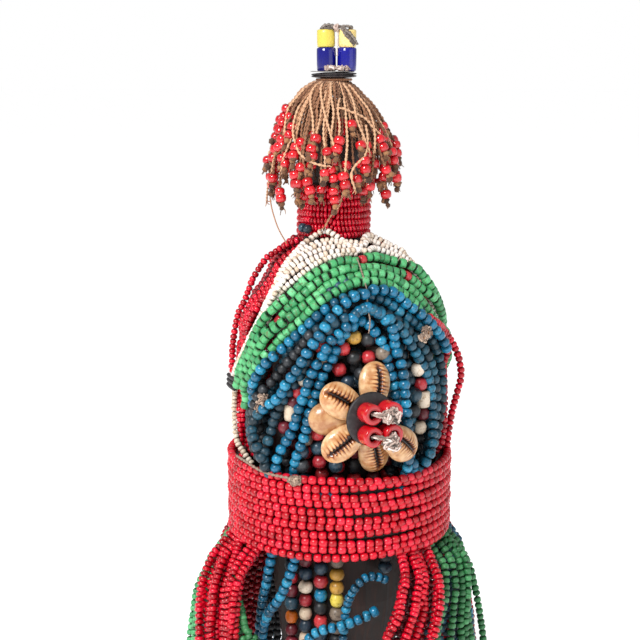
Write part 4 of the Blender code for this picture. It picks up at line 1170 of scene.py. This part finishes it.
def beaded_cord(piece, angle, foot, count, share):
    """A cord of the tassel with red beads above its knot, its lowest bead at foot."""
    drift = CHANCE.normal(0, 5)
    low = foot - CHANCE.uniform(2.2, 3.4) * MM
    path = hair_path(angle * 0.92 + drift, angle, low, share, sway=4.5)
    cord(piece, path, "tan twine", CHANCE.uniform(0.46, 0.56) * MM, grain=CHANCE.random())
    nearest = int(np.abs(path[:, 2] - foot).argmin())
    run = lengths_along(path)
    places = run[nearest] - np.arange(count) * TASSEL_RED.pitch * 1.02
    middles = points_at(places, run, path)
    way = unit(path[nearest] - path[max(nearest - 6, 0)])
    turned = turned_by_chance(way) * CHANCE.uniform(0.96, 1.12)
    frames = np.repeat(turned[None], count, 0)
    piece.stamp(TASSEL_RED.shape, middles, frames, CHANCE.random(count), "cherry red glass")
    knot = path[nearest] + way * (TASSEL_RED.length / 2 + 0.6 * MM)
    below, beside = (CHANCE.normal(0, spread * MM, 3) for spread in (0.4, 0.42))
    lumps(piece, [knot, knot + way * 1.2 * MM + below, knot + beside], 1.05 * MM, "knotted brown twine")
    frayed_end(piece, knot + way * 0.8 * MM, way, CHANCE.uniform(1.4, 2.8) * MM, "knotted brown twine", 3)


# Heights of the lowest beads at the back
BACK_FEET = (239, 233, 228, 223, 219)


def make_hair():
    """The tassel: beaded cords outside, plain ones inside, so that no light comes through."""
    finishes = ["tan twine", "knotted brown twine", "cherry red glass"]
    front, back = Piece("tassel_front_cords", finishes), Piece("tassel_back_cords", finishes)
    for angle, foot, count, share in FRONT_CORDS:
        beaded_cord(front, angle, foot * MM, count, share)
    for line in LOOSE_CORDS:
        angle, height = smooth_line(lines_mm(line), 40).T
        loose_cord(front, spots(angle, height, hair(height, angle) + 0.3 * MM), 0.5 * MM, 0.9, 1.6 * MM)
    for k in range(26):
        angle = -95 + 190 * (k + 0.5) / 26 + CHANCE.normal(0, 3)
        path = hair_path(angle * 0.95, angle, CHANCE.uniform(217, 230) * MM, CHANCE.uniform(0.62, 0.85))
        finish = "tan twine" if k % 3 else "knotted brown twine"
        cord(front, path, finish, 0.55 * MM, 5.5 * MM, grain=CHANCE.uniform(0, 0.4))
    for k in range(44):
        angle = 95 + 170 * (k + 0.5) / 46 + CHANCE.normal(0, 3)
        foot = CHANCE.choice(BACK_FEET) * MM + CHANCE.normal(0, 1.2 * MM)
        beaded_cord(back, angle, foot, int(CHANCE.integers(1, 3)), CHANCE.choice([1.0, 0.96, 0.88]))
    for k in range(14):
        angle = 90 + 180 * (k + 0.5) / 14
        path = hair_path(angle, angle, CHANCE.uniform(217, 228) * MM, 0.72)
        cord(back, path, "tan twine", 0.5 * MM, 5.5 * MM, grain=CHANCE.uniform(0, 0.5))
    # One cord falls over the neck wrap, and stray ends stick out at the left
    angle, height = smooth_line(lines_mm(NECK_CORD), 40).T
    loose_cord(front, spots(angle, height, NECK_WRAP_RADIUS + 0.9 * MM), 0.42 * MM, 0.6, 2.0 * MM)
    angle, height = smooth_line(lines_mm(STRAY_CORD), 30).T
    loose_cord(front, spots(angle, height, hair(height, angle) - 0.2 * MM), 0.42 * MM, 0.8, 2.0 * MM)
    angle, height, radius = smooth_line(STRAY_THREAD, 30).T
    front.tube(spots(angle, height * MM, radius * MM), 0.2 * MM, "tan twine", sides=4)
    front.make("hair_tassel", slot="twine")
    back.make(slot="twine")


# Rings with a real hole through them: shares of the radius and of the half length, round the wall's section,
# and the rim value, highest inside the hole, where dust and painted shade darken the glass
TUBE_WALL = (
    (0.44, -0.86, 1.0), (0.52, -0.97, 0.9), (0.70, -1.0, 0.5), (0.90, -0.97, 0.2), (0.985, -0.88, 0.1),
    (1.0, -0.5, 0), (1.0, 0.5, 0), (0.985, 0.88, 0.1), (0.90, 0.97, 0.2), (0.70, 1.0, 0.5),
    (0.52, 0.97, 0.9), (0.44, 0.86, 1.0), (0.42, 0.3, 1.0), (0.42, -0.3, 1.0), (0.44, -0.86, 1.0),
)
DISC_WALL = (
    (0.16, -0.8, 0.6), (0.2, -1.0, 0.5), (0.94, -1.0, 0.1), (1.0, -0.5, 0.0), (1.0, 0.5, 0.0),
    (0.94, 1.0, 0.1), (0.2, 1.0, 0.5), (0.16, 0.8, 0.6), (0.16, -0.8, 0.6),
)
DISH_WALL = (
    (0.1, -1.6, 0.6), (0.45, -1.6, 0.4), (0.80, -1.1, 0.2), (0.96, -0.6, 0.1), (1.0, 0.0, 0.0),
    (0.96, 0.5, 0.1), (0.80, 0.9, 0.2), (0.45, 1.5, 0.4), (0.1, 1.5, 0.6), (0.1, -1.6, 0.6),
)


def rotation(degrees, axis):
    return Matrix.Rotation(math.radians(degrees), 4, axis)

def set_down(piece, shape, matrix, finish, grain=0.5):
    matrix = np.array(matrix)
    piece.stamp(shape, matrix[:3, 3][None], matrix[:3, :3][None], np.array([grain]), finish)


def one(name, node, shape, matrix, finish, slot, grain=0.5):
    piece = Piece(name, [finish])
    set_down(piece, shape, matrix, finish, grain)
    piece.make(node, slot=slot)


CROWN_SIDES = ((-1, "left", 0.3, "lemon yellow glass"), (1, "right", 0.7, "pale yellow glass"))

def make_crown():
    """Discs on the tassel, two stacks of tube beads on them, and the thread over the top."""
    axis = float(shift(HAIR_TOP))
    level = HAIR_TOP + GAP
    slope = DISC_RADIUS * math.sin(math.radians(1.1))
    # The two lie nearly on each other
    for name, tilt, closed in (("disc_lower", -0.4, 0.42 * MM), ("disc_upper", -1.1, -0.12 * MM)):
        level += DISC_THICKNESS / 2 + slope
        matrix = Matrix.Translation((axis, 0, level + closed)) @ rotation(tilt, "Y")
        shape = turned_shape(DISH_WALL, DISC_RADIUS, DISC_THICKNESS * 1.3, 48)
        one(f"black_{name}", name, shape, matrix, "blackened hide", "black_disc")
        level += DISC_THICKNESS / 2 + slope + GAP
    spread, lean = TOP_BEAD_RADIUS + GAP, math.radians(2.0)
    tops, feet = [], []
    for side, label, grain, yellow in CROWN_SIDES:
        start = Vector((axis + 0.8 * MM + side * spread, 0, level + TOP_BEAD_RADIUS * math.sin(lean)))
        way = Vector((math.sin(lean) * side * 0.5, 0, math.cos(lean)))
        turn = Matrix.Rotation(math.atan2(way.x, way.z), 4, "Y")
        first = start + way * BLUE_BEAD_LENGTH / 2
        second = start + way * (BLUE_BEAD_LENGTH + GAP + YELLOW_BEAD_LENGTH / 2)
        blue_tube = turned_shape(TUBE_WALL, TOP_BEAD_RADIUS + GAP / 2, BLUE_BEAD_LENGTH + GAP, 40)
        one(f"top_bead_blue_{label}", f"bead_blue_{label}", blue_tube, Matrix.Translation(first) @ turn,
            "cobalt glass", "navy_beads", grain)
        lean_in = rotation(4.0, "X") if side > 0 else Matrix.Identity(4)
        yellow_tube = turned_shape(TUBE_WALL, TOP_BEAD_RADIUS * 0.98, YELLOW_BEAD_LENGTH + GAP, 40)
        one(f"top_bead_yellow_{label}", f"bead_yellow_{label}", yellow_tube,
            Matrix.Translation(second) @ turn @ lean_in, yellow, "yellow_beads", grain)
        tops.append(np.array(second + way * YELLOW_BEAD_LENGTH / 2))
        feet.append(np.array(start))
    thread = Piece("crown_thread", ["grey brown thread", "pale cotton thread", "tan twine", "worn hide"])
    # A third, thinner disc sticks out at the left above the others
    between = Matrix.Translation((axis - 0.5 * MM, 0, HAIR_TOP + 2.55 * MM)) @ rotation(0.6, "Y")
    set_down(thread, turned_shape(DISC_WALL, DISC_RADIUS * 0.96, 0.24 * MM, 48), between, "worn hide")
    turn = np.linspace(0, math.tau, 40)
    for height, reach in ((0.1, 5.4), (0.15, 4.4)):
        across, along = axis + reach * MM * np.cos(turn), reach * MM * np.sin(turn)
        ring = np.stack([across, along, HAIR_TOP + height * MM + 0 * turn], -1)
        thread.tube(ring, 0.42 * MM, "tan twine", sides=5, grain=0.3)
    left, right = tops
    middle = (left + right) / 2
    inside = mm(0, 0, -2.0)
    for k in range(5):
        bump = CHANCE.normal(0, 0.35 * MM, 3) * (1, 1, 0.4)
        back = mm(0, CHANCE.uniform(-1.2, 0.8), 0)
        over = smooth_line([left + inside + bump, left + mm(-1.2, -0.6, 0.5) + back,
                            left + mm(0.4, -0.4, 1.5) + bump + back, middle + mm(0, 0, 0.9) + bump,
                            right + mm(-0.6, -0.8, 1.1) + back, right + mm(1.0, -0.6, 0.6) + bump,
                            right + inside + bump], 50)
        cord(thread, over, "grey brown thread", 0.48 * MM, 2.4 * MM, grain=CHANCE.uniform(0.2, 0.9))
    snarl(thread, middle + mm(-0.1, -1.2, 0.5), 1.3 * MM, "pale cotton thread", 8, 0.26 * MM)
    snarl(thread, left + mm(0.4, -0.9, 0.5), 1.9 * MM, "grey brown thread", 9, 0.32 * MM, (1.2, 1, 0.5))
    # A frayed grey thread lies down over the right bead, and a pale one stands between the stacks
    for k in range(5):
        loose = CHANCE.normal(0, 1, 3) * (0.4, 0.12, 0.4) * MM
        down = smooth_line([right + mm(-1.9, -1.6, 0.7), right + mm(-0.4, -2.9, -0.9) + loose,
                            right + mm(1.3, -2.7, -2.8) + loose, right + mm(2.4, -1.6, -4.6) + loose], 40)
        cord(thread, down, "grey brown thread", 0.5 * MM, 2.0 * MM, grain=CHANCE.uniform(0.2, 0.9))
    snarl(thread, right + mm(0.2, -2.7, -1.4), 1.5 * MM, "grey brown thread", 5, 0.3 * MM, (0.9, 0.4, 1.0))
    snarl(thread, right + mm(1.6, -2.3, -3.2), 1.2 * MM, "grey brown thread", 4, 0.3 * MM, (0.9, 0.4, 1.0))
    hanging = middle + mm((0.1, -1.2, 0.2), (0.0, -1.5, -3.0), (0.1, -1.0, -8.0))
    thread.tube(smooth_line(hanging, 20), 0.3 * MM, "pale cotton thread", sides=6, grain=0.9)
    for foot, way in zip(feet, (1, -1)):
        for away in (0.2, 2.0):
            place = foot + mm(way * away, -2.4 - 0.3 * away, 0.9)
            snarl(thread, place, 1.25 * MM, "pale cotton thread", 8, 0.26 * MM, (1.2, 1, 0.8))
    thread.make("top_thread", slot="twine")


ROSETTE_LEVEL = BELT_TOP + MANTLE_HEIGHT * 0.26

def rosette_frame():
    """Where the rosette sits: X across it, Y up and Z out of the chest."""
    centre = Vector(spots(16, ROSETTE_LEVEL, mantle(ROSETTE_LEVEL) + 3 * MM).tolist())
    out = Vector((math.sin(math.radians(26)), -math.cos(math.radians(26)), 0.05)).normalized()
    side = Vector((0, 0, 1)).cross(out).normalized()
    return Matrix.Translation(centre) @ Matrix((side, out.cross(side), out)).transposed().to_4x4()


def cowrie_shape(teeth, slit_bend, hole=False):
    """A cowrie: Y along it, X across, +Z its slit face, where two rolled lips with teeth meet."""
    shape = bmesh.new()
    bmesh.ops.create_uvsphere(shape, u_segments=44, v_segments=72, radius=1.0)
    rim = shape.verts.layers.float.new("rim")
    for vertex in shape.verts:
        y = vertex.co.z
        out = math.sqrt(max(1 - y * y, 0))
        # Columns are drawn together towards the slit
        turn = math.atan2(vertex.co.x, vertex.co.y)
        turn -= 0.5 * math.sin(turn)
        x, z = out * math.sin(turn), out * math.cos(turn)
        middle = slit_bend * (1 - y * y) - 0.04
        gap = x - middle
        along = max(0.0, 1 - abs(y / 0.93) ** 5)
        face = max(0.0, z) ** 0.5
        lip = math.exp(-((abs(gap) - 0.22) / 0.16) ** 2) * along * face
        groove = math.exp(-((gap / (0.13 + 0.03 * math.sin(math.tau * y * teeth / 2))) ** 2)) * along * face
        # The teeth slant away from the middle, and are neither evenly spaced nor equally long
        uneven = 0.7 * math.sin(5.1 * y + 9 * slit_bend) + 0.5 * math.sin(11.3 * y + 1.7) + 2.2 * abs(gap) * y
        tooth = 0.5 + 0.5 * math.cos(math.tau * y * teeth / 2 + uneven + (1.9 if gap > 0 else 0.0))
        reach = (0.40 if gap > 0 else 0.30) + 0.12 * math.sin(7.7 * y + (2.0 if gap > 0 else 0.4))
        span = math.exp(-((max(abs(gap) - 0.10, 0)) / reach) ** 2) * along * face
        height = (0.40 if z > 0 else 0.60) * z
        height += 0.06 * lip - 0.26 * groove - 0.06 * span * (1 - tooth) * (1 - groove)
        if z > 0:
            height -= 0.05 * (1 - z) * out
        taper = 1 + 0.16 * y
        vertex.co = (x * COWRIE_WIDTH / 2 * taper, y * COWRIE_LENGTH / 2, height * COWRIE_DEPTH)
        # The slit's groove and the hole are painted nearly black, painted shade of the openings into the
        # shell; the lines between the teeth are the shell's own brown
        dark = groove + 0.85 * span * (1 - tooth) ** 3 * (1 - groove)
        dark += 0.3 * (1 - along) * face + 0.12 * out**6 * face
        if hole:
            away = math.hypot((x - 0.25) / 0.20, (y + 0.30) / 0.14)
            dark = max(dark, 1.15 * math.exp(-(away**4)) * face)
        vertex[rim] = min(dark, 1.0)
    return stored(shape)


# Shells round the rosette: clock in degrees, reach in widths, how far it is sunk in depths, its slit's bend,
# how brown it is, and whether its slit is turned away
COWRIES = {
    "top": (-13, 0.98, 0, 0.14, 0.3, False),
    "upper_left": (55, 1.02, 0, 0.16, 0.4, False),
    "left": (87, 0.94, 0.86, 0.1, 0.7, True),
    "lower_left": (126, 1.02, 0, 0.12, 0.25, False),
    "bottom": (197, 1.10, 0.50, 0.1, 0.45, False),
    "lower_right": (229, 1.15, -0.5, -0.12, 0.3, False),
}


# Thread from one bead's hole to the next one's: bead pitches across and up, and metres outwards
KNOT_LINE = ((-1, 0, -0.0016), (-0.62, 0, 0.0006), (0.05, -0.1, 0.0010), (0.62, 0, 0.0006), (1, 0, -0.0016))
KNOT_FINISHES = ["pale cotton thread", "grey brown thread"]

def make_rosette():
    """The disc with its four red beads and their knots, and the cowries round it."""
    place = rosette_frame() @ Matrix.Translation((-0.0010, 0.0004, 0))
    disc = turned_shape(DISC_WALL, ROSETTE_RADIUS * 0.96, ROSETTE_THICKNESS, 56)
    one("rosette_black_disc", "rosette_disc", disc, place @ Matrix.Translation((-0.0011, 0.0009, 0)),
        "blackened hide", "black_disc")
    pitch = ROSETTE_BEAD_RADIUS + GAP
    lift = ROSETTE_THICKNESS / 2 + GAP + ROSETTE_BEAD_LENGTH / 2
    tube = turned_shape(TUBE_WALL, ROSETTE_BEAD_RADIUS, ROSETTE_BEAD_LENGTH, 40)
    knots = Piece("rosette_knots", KNOT_FINISHES)
    for row, up in (("upper", 1), ("lower", -1)):
        for column, side in (("left", -1), ("right", 1)):
            matrix = place @ Matrix.Translation((side * pitch, up * pitch, lift))
            one(f"rosette_red_bead_{row}_{column}", f"rosette_bead_{row}_{column}", tube, matrix,
                "cherry red glass", "red_beads", 0.35 + 0.2 * side)
        # Twisted thread comes out of one bead's hole and goes down the next one's
        top = lift + ROSETTE_BEAD_LENGTH / 2
        for k in range(6):
            wobble = CHANCE.normal(0, 0.3 * MM, (5, 3))
            points = np.array(KNOT_LINE) * (pitch, pitch, 1) + (0, up * pitch, top) + wobble
            path = np.array([place @ Vector(p) for p in smooth_line(points, 40).tolist()])
            finish = CHANCE.choice(KNOT_FINISHES, p=[0.75, 0.25])
            cord(knots, path, finish, 0.4 * MM, 2.0 * MM, grain=CHANCE.random())
        for across, reach in ((0.2, 2.1), (0.7, 3.0)):
            down = (0.6 if up > 0 else 1.8) * MM
            middle = np.array(place @ Vector((across * pitch, up * pitch - down, top + 0.9 * MM)))
            snarl(knots, middle, reach * MM, "pale cotton thread", 11, 0.30 * MM)
            snarl(knots, middle, reach * MM, "grey brown thread", 3, 0.27 * MM)
    root = spots(17.5, ROSETTE_LEVEL, torso(ROSETTE_LEVEL) + GAP)
    back = np.array(place @ Vector((0, 0, -ROSETTE_THICKNESS / 2 - GAP)))
    cord(knots, np.array([root, (root + back) / 2, back]), "grey brown thread", 0.5 * MM)
    knots.make("rosette_thread", slot="twine")
    for name, (clock, reach, sunk, bend, brown, turned_away) in COWRIES.items():
        under = ROSETTE_THICKNESS / 2 + GAP + COWRIE_DEPTH * (0.40 + sunk)
        matrix = place @ rotation(clock, "Z") @ Matrix.Translation((0, reach * COWRIE_WIDTH, -under))
        matrix = matrix @ rotation(-12, "X")
        if turned_away:
            matrix = matrix @ rotation(180, "Y") @ Matrix.Translation((0, 0, -0.2 * COWRIE_DEPTH))
        shell = cowrie_shape(13, bend, name == "lower_left")
        one(f"cowrie_shell_{name}", f"cowrie_{name}", shell, matrix, "polished cowrie", "shell", brown)


OPENING_STRANDS = {
    "opening_strand_left": ((-42, 103, 0), (-42, 96, 0), (-46, 86, 0.4), (-51, 78, 0.7), (-56, 68, 1),
                            (-58, 57, 1)),
    "opening_strand_right": ((-26, 103, 0), (-27, 95, 0), (-33.5, 83, 0), (-42, 75, 0.2), (-49, 66, 0.6),
                             (-53, 56, 1)),
    "opening_loop_low": ((-22, 42, 0), (-23, 50, 0), (-22, 58, 0), (-19, 66, 0), (-12, 72, 0), (2, 75, 0),
                         (12, 77.5, 0), (20, 80, 0)),
    "opening_loop_high": ((26, 90, 0), (21, 92, 0), (14, 92.5, 0), (8, 89, 0), (4, 81, 1), (2, 71.5, 1),
                          (1, 60, 1), (1, 48, 1)),
}


def make_opening_strands():
    """The blue strands and loops in the skirt's opening."""
    for name, points in OPENING_STRANDS.items():
        piece = Piece(f"{name}_beads", ["sky blue glass", "thread"])
        bead = OPENING_BLUE if name != "opening_loop_high" else SKIRT_BLUE
        angle, share, behind = smooth_line(points, 80).T
        height = HEM_HEIGHT + SKIRT_LENGTH * share / 100
        radius = TUCK - OPENING_BLUE.width / 2 - GAP + 0.20 * (skirt(height) - TUCK)
        radius = radius - behind * (OPENING_BLUE.width + GAP)
        line = spots(angle, height, radius)
        run = lengths_along(line)
        count = int(run[-1] / bead.pitch)
        marks = (np.arange(count) + 0.5) * run[-1] / count
        lay(piece, points_at(marks, run, line), bead, "sky blue glass")
        piece.make(name, slot="blue_beads")


# Large beads seen in the chest opening: angle, height and colour
RECESS_BEADS = (
    (9, 175, "a"), (17, 174, "c"), (2, 171.5, "r"), (8, 168.5, "c"), (17, 168.5, "r"), (-1, 165, "r"),
    (24, 170, "g"), (49, 163, "w"), (52, 158, "r"), (55, 148, "m"), (52, 144, "w"), (-21, 162, "w"),
    (-24, 158, "r"), (-27, 154.5, "m"), (-33, 146, "m"), (-14, 144.5, "r"), (-14, 140, "n"),
    (-13, 135.5, "r"), (-4, 139, "c"), (-3, 134.5, "n"), (-22, 139, "n"), (-22, 134.5, "c"), (4, 161, "n"),
    (12, 163.5, "c"), (-8, 158, "n"), (60, 158, "n"), (63, 150, "c"), (-8, 149, "c"), (-6, 153.5, "m"),
    (46, 150, "c"), (47, 155, "n"),
)


def make_recess_beads():
    """Large beads that show between the blue strands at the chest."""
    piece = Piece("chest_opening_beads", MIXED_FINISHES)
    angle, height, colour = zip(*RECESS_BEADS)
    angle = np.array(angle, float)
    # Those at the sides lie nearly level with the blue strands
    middles = spots(angle, np.array(height) * MM, np.where(abs(angle) > 19, 31.8, 29.5) * MM)
    count = len(middles)
    frames = turned_by_chance(unit(np.array((0, 0, 1.0)) + CHANCE.normal(0, 0.2, (count, 3))))
    piece.stamp(LARGE.shape, middles, frames * 0.97, CHANCE.random(count), [LETTERS[c] for c in colour])
    cylinders = spots(np.array((53.5, -28.5)), mm(153.1, 151.2), mm(32.2, 31.8))
    upright = np.repeat(np.eye(3)[None], 2, 0)
    piece.stamp(LARGE_CYLINDER.shape, cylinders, upright, np.array((0.7, 0.3)), "cream glass")
    for middle in middles:
        piece.tube(middle + np.outer(np.linspace(-1, 1, 3), (0, 0, 3.4 * MM)), 0.3 * MM, "thread", sides=5)
    piece.make(slot="mixed_beads")


CHEST_TIE = ((17, 198), (17, 193), (17.5, 189), (16, 185), (16.5, 181), (15, 177))

def make_small_ties():
    """Threads and knots that hold the strands together."""
    ties = Piece("ties_and_knots", [
        "dusty thread", "knotted brown twine", "blackened hide", "chalk white glass", "slate navy glass",
    ])
    angle, height = smooth_line(lines_mm(CHEST_TIE), 40).T
    cord(ties, spots(angle, height, mantle(height) + 1.3 * MM), "dusty thread", 0.3 * MM, 2.0 * MM)
    for angle, height, reach in ((52, 175, 2.2), (48, 173.5, 1.6), (-41, 155, 2.3), (-43, 152, 1.7)):
        middle = spots(angle, height * MM, mantle(height * MM) + 1.0 * MM)
        snarl(ties, middle, reach * MM, "dusty thread", 9, 0.26 * MM)
        lumps(ties, middle[None], 1.2 * MM, "knotted brown twine")
    # A black tie holds the green strands' left end
    turn = np.linspace(-76, -64, 12)
    for height in mm(155.5, 157, 158.5):
        radius = mantle(height) + (1.4 - 0.002 * (turn + 70) ** 2) * MM
        ties.tube(spots(turn, height, radius), 0.7 * MM, "blackened hide", sides=8)
    # Twine lies along the belt's top edge at the left, with a knot at its end
    turn = np.linspace(-62, -25, 40)
    height = BELT_TOP + (1.5 - 2.4 * np.linspace(0, 1, 40) + 0.3 * np.sin(turn / 5)) * MM
    path = spots(turn, height, BELT_RADIUS + 0.1 * MM)
    cord(ties, path, "dusty thread", 0.55 * MM, 3.2 * MM)
    snarl(ties, path[-1] + mm(1.6, -0.6, -0.6), 2.2 * MM, "dusty thread", 12, 0.32 * MM, (1.1, 0.7, 0.9))
    # Two navy beads at the left of the neck
    middles = spots(np.array((-52.0, -40.0)), mm(205.8, 205.6), mm(12.5, 12.8))
    lay(ties, middles, SKIRT_BLUE, "slate navy glass", thread=None)
    ties.make(slot="twine")


make_inner_strands()
make_mantle()
make_reds()
make_belt()
make_neck()
make_skirt()
make_hair()
make_crown()
make_rosette()
make_opening_strands()
make_recess_beads()
make_small_ties()

for item in list(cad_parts.values()):
    if item.name.startswith("wooden_figure"):
        item.data.materials.clear()
        item.data.materials.append(bpy.data.materials["dark hardwood"])
